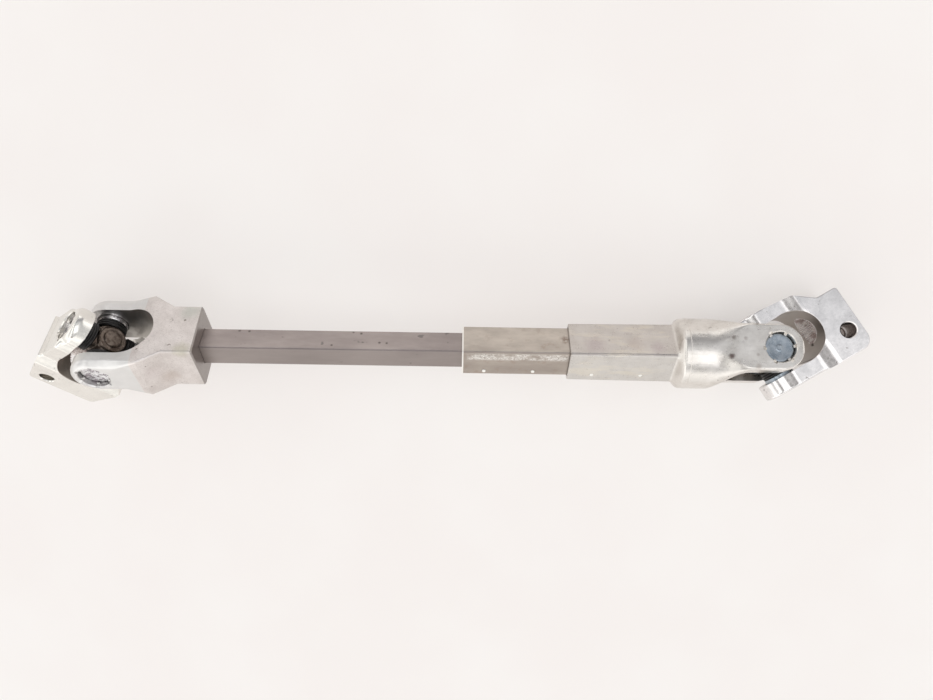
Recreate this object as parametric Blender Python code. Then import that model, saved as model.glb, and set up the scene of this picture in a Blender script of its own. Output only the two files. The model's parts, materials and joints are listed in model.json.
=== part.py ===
"""Telescopic steering shaft with a cardan joint and a pinch clamp at each end.

Metres, +Z up. The shaft lies as it comes to rest, with the middle of its footprint at the
origin: it runs along X, with the shaft yoke at -X and the tube yoke at +X.
Each joint frame has X pointing away from the shaft, Y along the pivot in the fork on the
shaft and Z along the pivot in the clamp while the joint is straight.
"""

import math

import bmesh
import bpy
from mathutils import Matrix, Vector

MM = 0.001

# Pose at rest
REST_TURN_LIMIT = math.radians(25.0)
LEFT_JOINT_X = -201.0 * MM
RIGHT_JOINT_X = 167.0 * MM
LEFT_FORK_ROLL = math.radians(36.0)
RIGHT_FORK_ROLL = math.radians(79.0)
LEFT_CROSS_ANGLE = math.radians(41.4)
LEFT_CLAMP_ANGLE = math.radians(7.0)
RIGHT_CROSS_ANGLE = math.radians(31.0)
RIGHT_CLAMP_ANGLE = math.radians(-8.0)

# Clearances
SEAT_GAP = 0.25 * MM
RUNNING_GAP = 0.30 * MM
CUTTER_OVERRUN = 1.0 * MM

# Cardan joint
ARM_SPAN = 46.0 * MM
ARM_WIDTH = 25.4 * MM
ARM_THICKNESS = 8.5 * MM
CUP_DIAMETER = 16.0 * MM
CUP_WALL = 1.2 * MM
CUP_FLOOR = 1.6 * MM
CUP_EDGE = 0.8 * MM
CUP_RECESS = 3.0 * MM
NEEDLE_COUNT = 16
NEEDLE_FLAT_START = 0.36
NEEDLE_FLAT_END = 0.64
TRUNNION_DIAMETER = 9.6 * MM
TRUNNION_END_GAP = 0.4 * MM
SHOULDER_DIAMETER = 13.4 * MM
HUB_DIAMETER = 16.0 * MM
HUB_THICKNESS = 17.0 * MM
HUB_BOSS_DIAMETER = 10.0 * MM
HUB_GROOVE_WIDTH = 2.2 * MM
HUB_GROOVE_DEPTH = 1.4 * MM
CROSS_EDGE = 0.6 * MM
SEAL_DIAMETER = 15.4 * MM
SEAL_WIDTH = 1.9 * MM
SEAL_LIP = 0.6 * MM
HUB_SEAL_GAP = 0.35 * MM

# Clamp yokes
CLAMP_LENGTH = 47.6 * MM
CLAMP_THICKNESS = 30.0 * MM
CLAMP_ARM_WIDTH = 25.4 * MM
CLAMP_TIP_WIDTH = 21.8 * MM
CLAMP_TIP_START = -3.0 * MM
CLAMP_TIP_STEP = 10.5 * MM
CLAMP_OPENING_DEPTH = 29.8 * MM
CLAMP_STEP_START = 17.0 * MM
CLAMP_STEP_LENGTH = 9.0 * MM
CLAMP_REACH = 27.0 * MM
CLAMP_ARM_CORNER = 4.0 * MM
CLAMP_EDGE = 0.5 * MM
CLAMP_CORNER = 1.7 * MM
CLAMP_FILLET = 3.0 * MM
RIGHT_TIP_REACH = 12.7 * MM
RIGHT_ROOT_X = 25.5 * MM
RIGHT_ROOT_DEPTH = 20.6 * MM
RIGHT_HEEL_X = 36.0 * MM
RIGHT_HEEL_DEPTH = 12.6 * MM
RIGHT_EAR_HEIGHT = 23.3 * MM
RIGHT_EAR_RADIUS = 6.0 * MM
LEFT_TIP_REACH = 14.6 * MM
LEFT_ROOT_X = 22.0 * MM
LEFT_HEEL_ROOT = 25.6 * MM
LEFT_HEEL_DEPTH = 19.6 * MM
LEFT_EAR_ROOT = 24.2 * MM
LEFT_EAR_HEIGHT = 17.8 * MM
LEFT_CORNER = 3.0 * MM
SPLINE_TEETH = 36
SPLINE_MAJOR = 16.2 * MM
SPLINE_MINOR = 14.8 * MM
SPLINE_CHAMFER = 0.9 * MM
SLIT_WIDTH = 2.6 * MM
SLIT_LENGTH = 23.0 * MM
BOLT_DIAMETER = 8.2 * MM
BOLT_THREAD = 6.9 * MM
BOLT_OFFSET = 10.6 * MM
BOLT_FROM_END = 7.3 * MM

# Shaft yoke and inner shaft
BLOCK_SIDE = 31.5 * MM
BLOCK_CORNER = 1.2 * MM
BLOCK_END = 55.0 * MM
BLOCK_START = 39.0 * MM
FLARE_TOP = 27.0 * MM
FLARE_END = 14.0 * MM
FLARE_DROP = 0.8 * MM
FORK_ARM_CORNER = 4.0 * MM
FORK_SLOT_DEPTH = 31.0 * MM
INNER_SHAFT_SIDE = 14.0 * MM
INNER_SHAFT_CORNER = 1.0 * MM
SECTION_ROLL = math.radians(50.0)
INNER_SHAFT_CHAMFER = 1.0 * MM
INNER_SHAFT_REACH = 62.0 * MM
SOCKET_DEPTH = 18.0 * MM

# Sleeve and liners
LINER_WALL = 0.5 * MM
SLIDE_LINER_LENGTH = 54.0 * MM
SLEEVE_SIDE = 19.1 * MM
SLEEVE_CORNER = 1.6 * MM
SLEEVE_START = -2.5 * MM
SLEEVE_END = 114.0 * MM
PLUG_DIAMETER = 1.8 * MM
PLUG_SPACING = 27.2 * MM
SLEEVE_PLUG_X = 9.8 * MM
TUBE_PLUG_X = 69.6 * MM
PLUG_OFFSET = 6.2 * MM
LINER_INSET = 1.5 * MM

# Tube yoke
TUBE_SIDE = 23.9 * MM
TUBE_FLARE = 0.7 * MM
TUBE_CORNER = 3.5 * MM
TUBE_START = 56.3 * MM
TUBE_END = 112.3 * MM
TUBE_CAVITY_END = 116.5 * MM
BULGE_START = 118.4 * MM
BULGE_LINE = 121.0 * MM
BULGE_END = 138.6 * MM
BULGE_DIAMETER = 39.0 * MM
BULGE_STEP = 0.25 * MM
TUBE_ARM_CORNER = 3.0 * MM
TUBE_ARM_START = 150.4 * MM
TUBE_SLOT_END = 142.0 * MM

# Rounding of arm tips: a higher power keeps the outer corner sharp for longer
TIP_POWER = 6
TIP_CORNER_SHARE = 0.9
ROUND_SHARE = 0.98

# Densities, kg per cubic metre
ALUMINIUM_DENSITY = 2700
STEEL_DENSITY = 7850
RUBBER_DENSITY = 1200
PLASTIC_DENSITY = 1400

# Facets
ROUND_STEPS = 28
PLUG_STEPS = 12
NECK_CORNER_STEPS = 7
OUTLINE_STEPS = 5
CROSS_STEPS = 20
SEAL_STEPS = 20
BOLT_STEPS = 20
CORNER_STEPS = 4
ARC_STEPS = 18
STEP_POINTS = 8
TIP_STEPS = 6
TIP_TURN = math.radians(84)
SHARP_ANGLE = math.radians(32)


def clear_scene():
    """Remove every object of the scene."""
    for old in list(bpy.data.objects):
        bpy.data.objects.remove(old, do_unlink=True)


def finish_material(name, colour, roughness, metallic, density):
    """A Principled material that knows its density in kg per cubic metre."""
    mat = bpy.data.materials.new(name)
    mat["density"] = density
    mat.use_nodes = True
    shader = mat.node_tree.nodes["Principled BSDF"]
    shader.inputs["Base Color"].default_value = (*colour, 1)
    shader.inputs["Roughness"].default_value = roughness
    shader.inputs["Metallic"].default_value = metallic
    return mat


def add_object(name, mesh_source):
    """An object from a bmesh or a mesh."""
    if isinstance(mesh_source, bmesh.types.BMesh):
        mesh = bpy.data.meshes.new(name)
        mesh_source.to_mesh(mesh)
        mesh_source.free()
    else:
        mesh = mesh_source
    obj = bpy.data.objects.new(name, mesh)
    bpy.context.scene.collection.objects.link(obj)
    return obj


def add_frame(name, parent, location, rotation):
    """An empty that carries the pieces of one joint."""
    frame = bpy.data.objects.new(name, None)
    bpy.context.scene.collection.objects.link(frame)
    frame.parent = parent
    frame.location = location
    frame.rotation_euler = rotation
    return frame


def combine(body, tool, operation):
    """Cut, join or intersect a body with a tool and delete the tool."""
    step = body.modifiers.new(operation.lower(), "BOOLEAN")
    step.operation = operation
    step.solver = "EXACT"
    step.object = tool
    graph = bpy.context.evaluated_depsgraph_get()
    result = bpy.data.meshes.new_from_object(body.evaluated_get(graph), depsgraph=graph)
    body.modifiers.clear()
    old = body.data
    body.data = result
    bpy.data.meshes.remove(old)
    bpy.data.objects.remove(tool, do_unlink=True)
    return body


def corner_arc(before, corner, after, radius, steps):
    """Points of a fillet of the given radius at a corner of an outline."""
    corner = Vector(corner)
    to_before = (Vector(before) - corner).normalized()
    to_after = (Vector(after) - corner).normalized()
    half = to_before.angle(to_after) / 2
    reach = radius / math.tan(half)
    centre = corner + (to_before + to_after).normalized() * (radius / math.sin(half))
    start = corner + to_before * reach - centre
    end = corner + to_after * reach - centre
    turn = start.angle_signed(end)
    return [centre + Matrix.Rotation(-turn * k / steps, 2) @ start for k in range(steps + 1)]


def filleted(outline, steps=CORNER_STEPS):
    """Points of an outline given as (u, v, fillet radius) corners."""
    points = []
    for i, (u, v, radius) in enumerate(outline):
        if radius == 0:
            points.append(Vector((u, v)))
            continue
        before = outline[i - 1][:2]
        after = outline[(i + 1) % len(outline)][:2]
        points += corner_arc(before, (u, v), after, radius, steps)
    return points


def prism(name, points, low, high, plane):
    """A solid with the given outline; plane maps (u, v, w) to a point, w from low to high."""
    bm = bmesh.new()
    face = bm.faces.new([bm.verts.new(plane(u, v, low)) for u, v in points])
    shift = Vector(plane(0, 0, high)) - Vector(plane(0, 0, low))
    top = bmesh.ops.extrude_face_region(bm, geom=[face])["geom"]
    bmesh.ops.translate(bm, vec=shift, verts=[v for v in top if isinstance(v, bmesh.types.BMVert)])
    bmesh.ops.recalc_face_normals(bm, faces=bm.faces)
    return add_object(name, bm)


def turned(name, profile, plane, steps=ROUND_STEPS):
    """A solid of revolution; profile is (radius, height) from axis to axis or a closed ring."""
    closed = profile[0][0] > 0
    bm = bmesh.new()
    verts = [bm.verts.new((radius, 0, height)) for radius, height in profile]
    edges = [bm.edges.new(pair) for pair in zip(verts, verts[1:])]
    if closed:
        edges.append(bm.edges.new((verts[-1], verts[0])))
    bmesh.ops.spin(bm, geom=verts + edges, axis=(0, 0, 1), cent=(0, 0, 0),
                   angle=math.tau, steps=steps, use_merge=True)
    bmesh.ops.remove_doubles(bm, verts=bm.verts, dist=1e-6)
    for vert in bm.verts:
        vert.co = plane(vert.co.x, vert.co.y, vert.co.z)
    bmesh.ops.recalc_face_normals(bm, faces=bm.faces)
    return add_object(name, bm)


def lofted(name, sections, steps=CORNER_STEPS):
    """A skin through rounded rectangles (x, half y, half z, corner radius, roll)."""
    bm = bmesh.new()
    rings = []
    for x, half_y, half_z, radius, roll in sections:
        corners = [(half_y, half_z), (-half_y, half_z), (-half_y, -half_z), (half_y, -half_z)]
        points = filleted([(y, z, radius) for y, z in corners], steps)
        spin = Matrix.Rotation(roll, 2)
        rings.append([bm.verts.new((x, *(spin @ point))) for point in points])
    for near, far in zip(rings, rings[1:]):
        for i, vert in enumerate(near):
            bm.faces.new((near[i - 1], vert, far[i], far[i - 1]))
    bm.faces.new(rings[0])
    bm.faces.new(rings[-1])
    bmesh.ops.recalc_face_normals(bm, faces=bm.faces)
    return add_object(name, bm)


def along_x(u, v, w):
    """Plane YZ, swept along X."""
    return (w, u, v)


def along_y(u, v, w):
    """Plane XZ, swept along Y."""
    return (u, w, v)


def along_z(u, v, w):
    """Plane XY, swept along Z."""
    return (u, v, w)


def shade(obj, angle=SHARP_ANGLE):
    """Smooth round faces and keep the edges."""
    obj.data.shade_smooth()
    obj.data.set_sharp_from_angle(angle=angle)


def circle(radius, steps, phase=0.0):
    """Points on a circle."""
    return [Vector((radius * math.cos(phase + math.tau * k / steps),
                    radius * math.sin(phase + math.tau * k / steps))) for k in range(steps)]


def square(side, radius, roll):
    """Points of a rounded square, turned by roll."""
    half = side / 2
    spin = Matrix.Rotation(roll, 2)
    corners = [(half, half, radius), (-half, half, radius), (-half, -half, radius), (half, -half, radius)]
    return [spin @ point for point in filleted(corners)]


def move_mesh(obj, matrix):
    """Place the mesh of an object."""
    obj.data.transform(matrix)
    return obj


ARM_OUTER = ARM_SPAN / 2
ARM_INNER = ARM_OUTER - ARM_THICKNESS
CUP_TOP = ARM_OUTER - CUP_RECESS
SEAL_INNER_FACE = HUB_DIAMETER / 2 + HUB_SEAL_GAP
CUP_MOUTH = SEAL_INNER_FACE + SEAL_WIDTH + SEAT_GAP
CUP_BORE = CUP_DIAMETER / 2 - CUP_WALL
TRUNNION_END = CUP_TOP - CUP_FLOOR - TRUNNION_END_GAP


def cup_mesh():
    """Drawn bearing cup along +Z, open towards the cross, with its needles as half rounds."""
    radius = CUP_DIAMETER / 2
    cup = turned("cup", [(0, CUP_TOP), (radius - CUP_EDGE, CUP_TOP), (radius, CUP_TOP - CUP_EDGE),
                         (radius, CUP_MOUTH + CUP_EDGE / 2), (radius - CUP_EDGE / 2, CUP_MOUTH),
                         (0, CUP_MOUTH)], along_z)
    crest = TRUNNION_DIAMETER / 2 + RUNNING_GAP
    needles = []
    for k in range(NEEDLE_COUNT):
        pitch = math.tau / NEEDLE_COUNT
        for part, reach in ((0.0, CUP_BORE), (NEEDLE_FLAT_START, crest), (NEEDLE_FLAT_END, crest)):
            angle = pitch * (k + part)
            needles.append(Vector((reach * math.cos(angle), reach * math.sin(angle))))
    race = prism("race", needles, CUP_MOUTH - CUTTER_OVERRUN, CUP_TOP - CUP_FLOOR, along_z)
    return combine(cup, race, "DIFFERENCE")


def seal_mesh():
    """Lip seal between the cup and the shoulder of the cross."""
    outer = SEAL_DIAMETER / 2
    inner = TRUNNION_DIAMETER / 2 + RUNNING_GAP
    low = SEAL_INNER_FACE
    high = low + SEAL_WIDTH
    lip = SEAL_LIP
    return turned("seal", [(inner, low + lip), (inner, high), (outer - lip, high), (outer, high - lip),
                           (outer, low + lip), (outer - lip, low)], along_z, SEAL_STEPS)


def cross(name):
    """Forged cross: a hub with a ringed boss on each face and four ground trunnions."""
    tip = TRUNNION_END
    edge = CROSS_EDGE
    trunnion = TRUNNION_DIAMETER / 2
    shoulder = SHOULDER_DIAMETER / 2
    shoulder_end = SEAL_INNER_FACE - SEAT_GAP
    half = [(trunnion - edge, tip), (trunnion, tip - edge), (trunnion, shoulder_end),
            (shoulder, shoulder_end)]
    profile = [(0, tip)] + half + [(radius, -height) for radius, height in reversed(half)] + [(0, -tip)]
    body = turned(name, profile, along_y, CROSS_STEPS)
    combine(body, turned("second arm", profile, along_z, CROSS_STEPS), "UNION")
    rim = HUB_DIAMETER / 2
    boss = HUB_BOSS_DIAMETER / 2
    groove = boss + HUB_GROOVE_WIDTH
    face = HUB_THICKNESS / 2
    floor = face - HUB_GROOVE_DEPTH
    side = [(boss - edge, face), (boss, face - edge), (boss, floor), (groove, floor), (groove, face - edge),
            (rim - edge, face - edge), (rim, face - 3 * edge)]
    hub = [(0, face)] + side + [(radius, -height) for radius, height in reversed(side)] + [(0, -face)]
    combine(body, turned("hub", hub, along_x, CROSS_STEPS), "UNION")
    shade(body)
    return body


def drill_cups(yoke, plane):
    """Bore both arms for the bearing cups."""
    radius = CUP_DIAMETER / 2 + SEAT_GAP
    reach = ARM_OUTER + CLAMP_THICKNESS
    tool = prism("cup bore", circle(radius, ROUND_STEPS), -reach, reach, plane)
    return combine(yoke, tool, "DIFFERENCE")


def u_opening(depth, sign):
    """Outline of the gap between two arms, with a half-round floor at the given depth."""
    inner = ARM_INNER
    centre = depth - inner
    return [Vector((sign * (centre + inner * math.sin(math.pi * k / ARC_STEPS)),
                    inner * math.cos(math.pi * k / ARC_STEPS))) for k in range(ARC_STEPS + 1)]


def tip_sections(start, width, reach, corner, side):
    """Sections of the round tips of a pair of arms, from start to reach; side is where they point."""
    sections = []
    for k in range(TIP_STEPS + 1):
        angle = TIP_TURN * k / TIP_STEPS
        half = width / 2 * math.cos(angle)
        rounding = corner * math.sin(angle) ** TIP_POWER
        set_back = corner - math.sqrt(corner ** 2 - rounding ** 2)
        edge = min(corner, half * TIP_CORNER_SHARE)
        x = side * (start + (reach - start) * math.sin(angle))
        sections.append((x, ARM_OUTER - set_back, half, edge, 0))
    return sections


def fork_arms(start, corner):
    """Sections of a fork's arms, with half-round tips about the pivot."""
    arm = ARM_WIDTH / 2
    return [(start, ARM_OUTER, arm, corner, 0)] + tip_sections(0, ARM_WIDTH, arm, corner, 1)


def eased(start, end):
    """Sections that ease from one rounded rectangle to another (x, half y, half z, corner, roll)."""
    sections = []
    for k in range(STEP_POINTS + 1):
        share = (1 - math.cos(math.pi * k / STEP_POINTS)) / 2
        shape = [low + (high - low) * share for low, high in zip(start[1:], end[1:])]
        sections.append((start[0] + (end[0] - start[0]) * k / STEP_POINTS, *shape))
    return sections


def clamp_envelope(name, tip_reach):
    """Outside of a clamp yoke: two arms that step up from tip to arm and to the body, along X."""
    corner = CLAMP_ARM_CORNER
    body = CLAMP_THICKNESS / 2
    step_end = CLAMP_STEP_START + CLAMP_STEP_LENGTH
    tip = (CLAMP_TIP_START, ARM_OUTER, CLAMP_TIP_WIDTH / 2, corner, 0)
    arm = (CLAMP_TIP_START + CLAMP_TIP_STEP, ARM_OUTER, CLAMP_ARM_WIDTH / 2, corner, 0)
    arm_end = (CLAMP_STEP_START, *arm[1:])
    tips = tip_sections(-CLAMP_TIP_START, CLAMP_TIP_WIDTH, tip_reach, corner, -1)
    sections = list(reversed(tips[1:])) + eased(tip, arm)
    sections += eased(arm_end, (step_end, CLAMP_REACH, body, CLAMP_EDGE, 0))
    sections.append((CLAMP_LENGTH + CUTTER_OVERRUN, CLAMP_REACH, body, CLAMP_EDGE, 0))
    quarter = math.pi / 2
    turned_over = [(x, half_y, half_z, corner, quarter) for x, half_y, half_z, corner, roll in sections]
    return lofted(name, turned_over)


def clamp_yoke(name, tip_reach, heel, ear):
    """Aluminium clamp yoke: arms and body, cut to the outline of heel and ear, bored and slit."""
    end = CLAMP_LENGTH
    half = CLAMP_THICKNESS / 2
    side = half + CUTTER_OVERRUN
    top = CLAMP_REACH + CUTTER_OVERRUN
    tip = -tip_reach - CUTTER_OVERRUN
    inner = ARM_INNER
    body = clamp_envelope(name, tip_reach)
    outline = filleted([(tip, -top, 0)] + heel + ear + [(tip, top, 0)], OUTLINE_STEPS)
    outline += [Vector((tip, inner))] + u_opening(CLAMP_OPENING_DEPTH, 1) + [Vector((tip, -inner))]
    combine(body, prism("outline", outline, -side, side, along_y), "INTERSECT")

    drill_cups(body, along_z)
    teeth = []
    for k in range(SPLINE_TEETH):
        for share, diameter in ((0.0, SPLINE_MINOR), (0.5, SPLINE_MAJOR)):
            angle = math.tau * (k + share) / SPLINE_TEETH
            teeth.append(Vector((diameter / 2 * math.cos(angle), diameter / 2 * math.sin(angle))))
    bore_start = CLAMP_OPENING_DEPTH - inner
    combine(body, prism("spline", teeth, bore_start, end + CUTTER_OVERRUN, along_x), "DIFFERENCE")
    wide = SPLINE_MAJOR / 2 + SPLINE_CHAMFER
    lead = [(0, end + CUTTER_OVERRUN), (wide + CUTTER_OVERRUN, end + CUTTER_OVERRUN), (0, end - wide)]
    combine(body, turned("lead", lead, along_x, SPLINE_TEETH), "DIFFERENCE")
    half_slit = SLIT_WIDTH / 2
    slit = [(-half_slit, 0), (half_slit, 0), (half_slit, top), (-half_slit, top)]
    combine(body, prism("slit", slit, end - SLIT_LENGTH, end + CUTTER_OVERRUN, along_x), "DIFFERENCE")
    centre = Vector((end - BOLT_FROM_END, BOLT_OFFSET))
    for low, high, diameter in ((0, side, BOLT_DIAMETER), (-side, 0, BOLT_THREAD)):
        bolt = [centre + point for point in circle(diameter / 2, BOLT_STEPS)]
        combine(body, prism("bolt hole", bolt, low, high, along_y), "DIFFERENCE")
    shade(body)
    return body


def fork_slot(depth):
    """Gap between the arms of a fork whose stem runs to -X."""
    tip = ARM_WIDTH / 2 + CUTTER_OVERRUN
    outline = [Vector((tip, ARM_INNER))] + u_opening(depth, -1) + [Vector((tip, -ARM_INNER))]
    return prism("slot", outline, -ARM_SPAN, ARM_SPAN, along_z)


def shaft_yoke(name):
    """Square aluminium block that flares into two arms; drawn in the left joint frame."""
    block = BLOCK_SIDE / 2
    sections = [(-BLOCK_END, block, block, BLOCK_CORNER, 0),
                (-BLOCK_START, block, block, BLOCK_CORNER, 0),
                (-FLARE_TOP, ARM_OUTER - FLARE_DROP, block, BLOCK_CORNER, 0)]
    body = lofted(name, sections + fork_arms(-FLARE_END, FORK_ARM_CORNER))
    combine(body, fork_slot(FORK_SLOT_DEPTH), "DIFFERENCE")
    drill_cups(body, along_y)
    roll = math.pi - LEFT_FORK_ROLL - SECTION_ROLL
    bore = square(INNER_SHAFT_SIDE + 2 * SEAT_GAP, INNER_SHAFT_CORNER, roll)
    socket = prism("socket", bore, -BLOCK_END - CUTTER_OVERRUN, ARM_INNER - FORK_SLOT_DEPTH, along_x)
    combine(body, socket, "DIFFERENCE")
    shade(body)
    return body


def tube_yoke(name):
    """Square aluminium tube that swells into a round neck and a fork; drawn in the shaft frame."""
    side = TUBE_SIDE / 2
    wide = side + TUBE_FLARE / 2
    bulge = BULGE_DIAMETER / 2
    inside = bulge - BULGE_STEP
    roll = SECTION_ROLL
    sections = [(TUBE_START, side, side, TUBE_CORNER, roll),
                (TUBE_END, wide, wide, TUBE_CORNER, roll),
                (BULGE_START, inside, inside, inside * ROUND_SHARE, roll),
                (BULGE_LINE + CUTTER_OVERRUN, inside, inside, inside * ROUND_SHARE, roll)]
    body = lofted(name, sections, NECK_CORNER_STEPS)
    joint = RIGHT_JOINT_X
    neck = [(BULGE_LINE - joint, bulge, bulge, bulge * ROUND_SHARE, 0),
            (BULGE_END - joint, bulge, bulge, bulge * ROUND_SHARE, 0)]
    arms = fork_arms(TUBE_ARM_START - joint, TUBE_ARM_CORNER)
    fork = lofted("fork", neck + arms, NECK_CORNER_STEPS)
    combine(fork, fork_slot(joint - TUBE_SLOT_END), "DIFFERENCE")
    drill_cups(fork, along_y)
    move_mesh(fork, Matrix.Translation((joint, 0, 0)) @ Matrix.Rotation(RIGHT_FORK_ROLL, 4, "X"))
    combine(body, fork, "UNION")
    bore = square(tube_bore(), SLEEVE_CORNER + LINER_WALL, roll)
    combine(body, prism("cavity", bore, TUBE_START - CUTTER_OVERRUN, TUBE_CAVITY_END, along_x), "DIFFERENCE")
    hole_radius = PLUG_DIAMETER / 2 + SEAT_GAP
    for k in range(2):
        hole = plug(TUBE_PLUG_X + k * PLUG_SPACING, hole_radius, SLEEVE_SIDE / 2, TUBE_SIDE)
        combine(body, hole, "DIFFERENCE")
    shade(body)
    return body


def sleeve_bore():
    """Side of the square bore of the sleeve."""
    return INNER_SHAFT_SIDE + 2 * (RUNNING_GAP + LINER_WALL + SEAT_GAP)


def tube_bore():
    """Side of the square bore of the tube yoke."""
    return SLEEVE_SIDE + 2 * (LINER_WALL + 2 * SEAT_GAP)


def plug(x, radius, low, high):
    """Pin of plastic through the wall that faces up and forward."""
    pin = prism("plug", circle(radius, PLUG_STEPS), low, high, along_z)
    place = Matrix.Translation((x, 0, 0)) @ Matrix.Rotation(SECTION_ROLL, 4, "X")
    return move_mesh(pin, place @ Matrix.Translation((0, -PLUG_OFFSET, 0)))


def square_tube(name, outer, outer_corner, inner, inner_corner, low, high):
    """A straight square tube in the shaft frame."""
    body = prism(name, square(outer, outer_corner, SECTION_ROLL), low, high, along_x)
    bore = square(inner, inner_corner, SECTION_ROLL)
    tool = prism("bore", bore, low - CUTTER_OVERRUN, high + CUTTER_OVERRUN, along_x)
    return combine(body, tool, "DIFFERENCE")


def sleeve(name):
    """Extruded square sleeve between the inner shaft and the tube."""
    body = square_tube(name, SLEEVE_SIDE, SLEEVE_CORNER, sleeve_bore(), INNER_SHAFT_CORNER + LINER_WALL,
                       SLEEVE_START, SLEEVE_END)
    hole_radius = PLUG_DIAMETER / 2 + SEAT_GAP
    for k in range(2):
        hole = plug(SLEEVE_PLUG_X + k * PLUG_SPACING, hole_radius, 0, SLEEVE_SIDE)
        combine(body, hole, "DIFFERENCE")
    shade(body)
    return body


def slide_liner(name):
    """Moulded plastic lining of the sleeve, keyed by two plugs through its wall."""
    inner = INNER_SHAFT_SIDE + 2 * RUNNING_GAP
    outer = inner + 2 * LINER_WALL
    corner = INNER_SHAFT_CORNER
    body = square_tube(name, outer, corner + LINER_WALL, inner, corner,
                       SLEEVE_START + LINER_INSET, SLEEVE_START + SLIDE_LINER_LENGTH)
    root = (inner + LINER_WALL) / 2
    for k in range(2):
        pin = plug(SLEEVE_PLUG_X + k * PLUG_SPACING, PLUG_DIAMETER / 2, root, SLEEVE_SIDE / 2)
        combine(body, pin, "UNION")
    shade(body)
    return body


def shear_liner(name):
    """Moulded plastic between sleeve and tube, keyed by two shear plugs."""
    inner = SLEEVE_SIDE + 2 * SEAT_GAP
    outer = inner + 2 * LINER_WALL
    corner = SLEEVE_CORNER
    body = square_tube(name, outer, corner + LINER_WALL, inner, corner,
                       TUBE_START + LINER_INSET, TUBE_END - LINER_INSET)
    root = (inner + LINER_WALL) / 2
    for k in range(2):
        pin = plug(TUBE_PLUG_X + k * PLUG_SPACING, PLUG_DIAMETER / 2, root, TUBE_SIDE / 2)
        combine(body, pin, "UNION")
    shade(body)
    return body


def inner_shaft(name):
    """Solid square bar, chamfered at its free end."""
    half = INNER_SHAFT_SIDE / 2
    start = LEFT_JOINT_X + BLOCK_END - SOCKET_DEPTH
    chamfer = INNER_SHAFT_CHAMFER
    sections = [(start, half, half, INNER_SHAFT_CORNER, SECTION_ROLL),
                (INNER_SHAFT_REACH - chamfer, half, half, INNER_SHAFT_CORNER, SECTION_ROLL),
                (INNER_SHAFT_REACH, half - chamfer, half - chamfer, INNER_SHAFT_CORNER, SECTION_ROLL)]
    body = lofted(name, sections)
    shade(body)
    return body


def place(obj, parent, mat, rotation=(0, 0, 0)):
    """Put an object in its frame and give it its material."""
    obj.parent = parent
    obj.rotation_euler = rotation
    obj.data.materials.clear()
    obj.data.materials.append(mat)
    return obj


def bearings(side, fork_carrier, clamp_carrier, cup_data, seal_data, steel, rubber):
    """Four cups and seals: two in the fork on the shaft (Y), two in the clamp (Z)."""
    quarter = math.pi / 2
    seats = (("fork_near", fork_carrier, (-quarter, 0, 0)), ("fork_far", fork_carrier, (quarter, 0, 0)),
             ("clamp_near", clamp_carrier, (0, 0, 0)), ("clamp_far", clamp_carrier, (math.pi, 0, 0)))
    for seat, carrier, rotation in seats:
        for kind, data, mat in (("cup", cup_data, steel), ("seal", seal_data, rubber)):
            obj = add_object(f"{side}_{seat}_{kind}", data)
            place(obj, carrier, mat, rotation)


def lay_down(rest):
    """Turn the shaft onto the steadiest face below its centre of mass, over the origin."""
    bpy.context.view_layer.update()
    hull = bmesh.new()
    centre = Vector()
    weight = 0.0
    pieces = [obj for obj in bpy.data.objects if obj.type == "MESH"]
    for obj in pieces:
        piece = bmesh.new()
        piece.from_mesh(obj.data)
        piece.transform(obj.matrix_world)
        bmesh.ops.triangulate(piece, faces=piece.faces)
        for face in piece.faces:
            a, b, c = (vert.co for vert in face.verts)
            share = obj.data.materials[0]["density"] * a.dot(b.cross(c)) / 6
            centre += share * (a + b + c) / 4
            weight += share
        for vert in piece.verts:
            hull.verts.new(vert.co)
        piece.free()
    centre /= weight
    bmesh.ops.convex_hull(hull, input=hull.verts)
    down = Vector((0, 0, -1))
    floors = []
    for face in hull.faces:
        normal = face.normal if face.normal.dot(face.verts[0].co - centre) > 0 else -face.normal
        foot = centre + normal * (face.verts[0].co - centre).dot(normal)
        corners = [vert.co for vert in face.verts]
        sides = zip(corners, corners[1:] + corners[:1])
        margin = min((b - a).normalized().cross(foot - a).dot(face.normal) for a, b in sides)
        if normal.angle(down) < REST_TURN_LIMIT:
            floors.append((margin, normal.copy()))
    floor = max(floors, key=lambda option: option[0])[1]
    turn = floor.rotation_difference(down).to_matrix()
    points = [turn @ vert.co for vert in hull.verts]
    hull.free()
    low = [min(point[axis] for point in points) for axis in range(3)]
    high = [max(point[axis] for point in points) for axis in range(3)]
    to_origin = Vector((-(low[0] + high[0]) / 2, -(low[1] + high[1]) / 2, -low[2]))
    rest.matrix_world = Matrix.Translation(to_origin) @ turn.to_4x4()
    bpy.context.view_layer.update()


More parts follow.
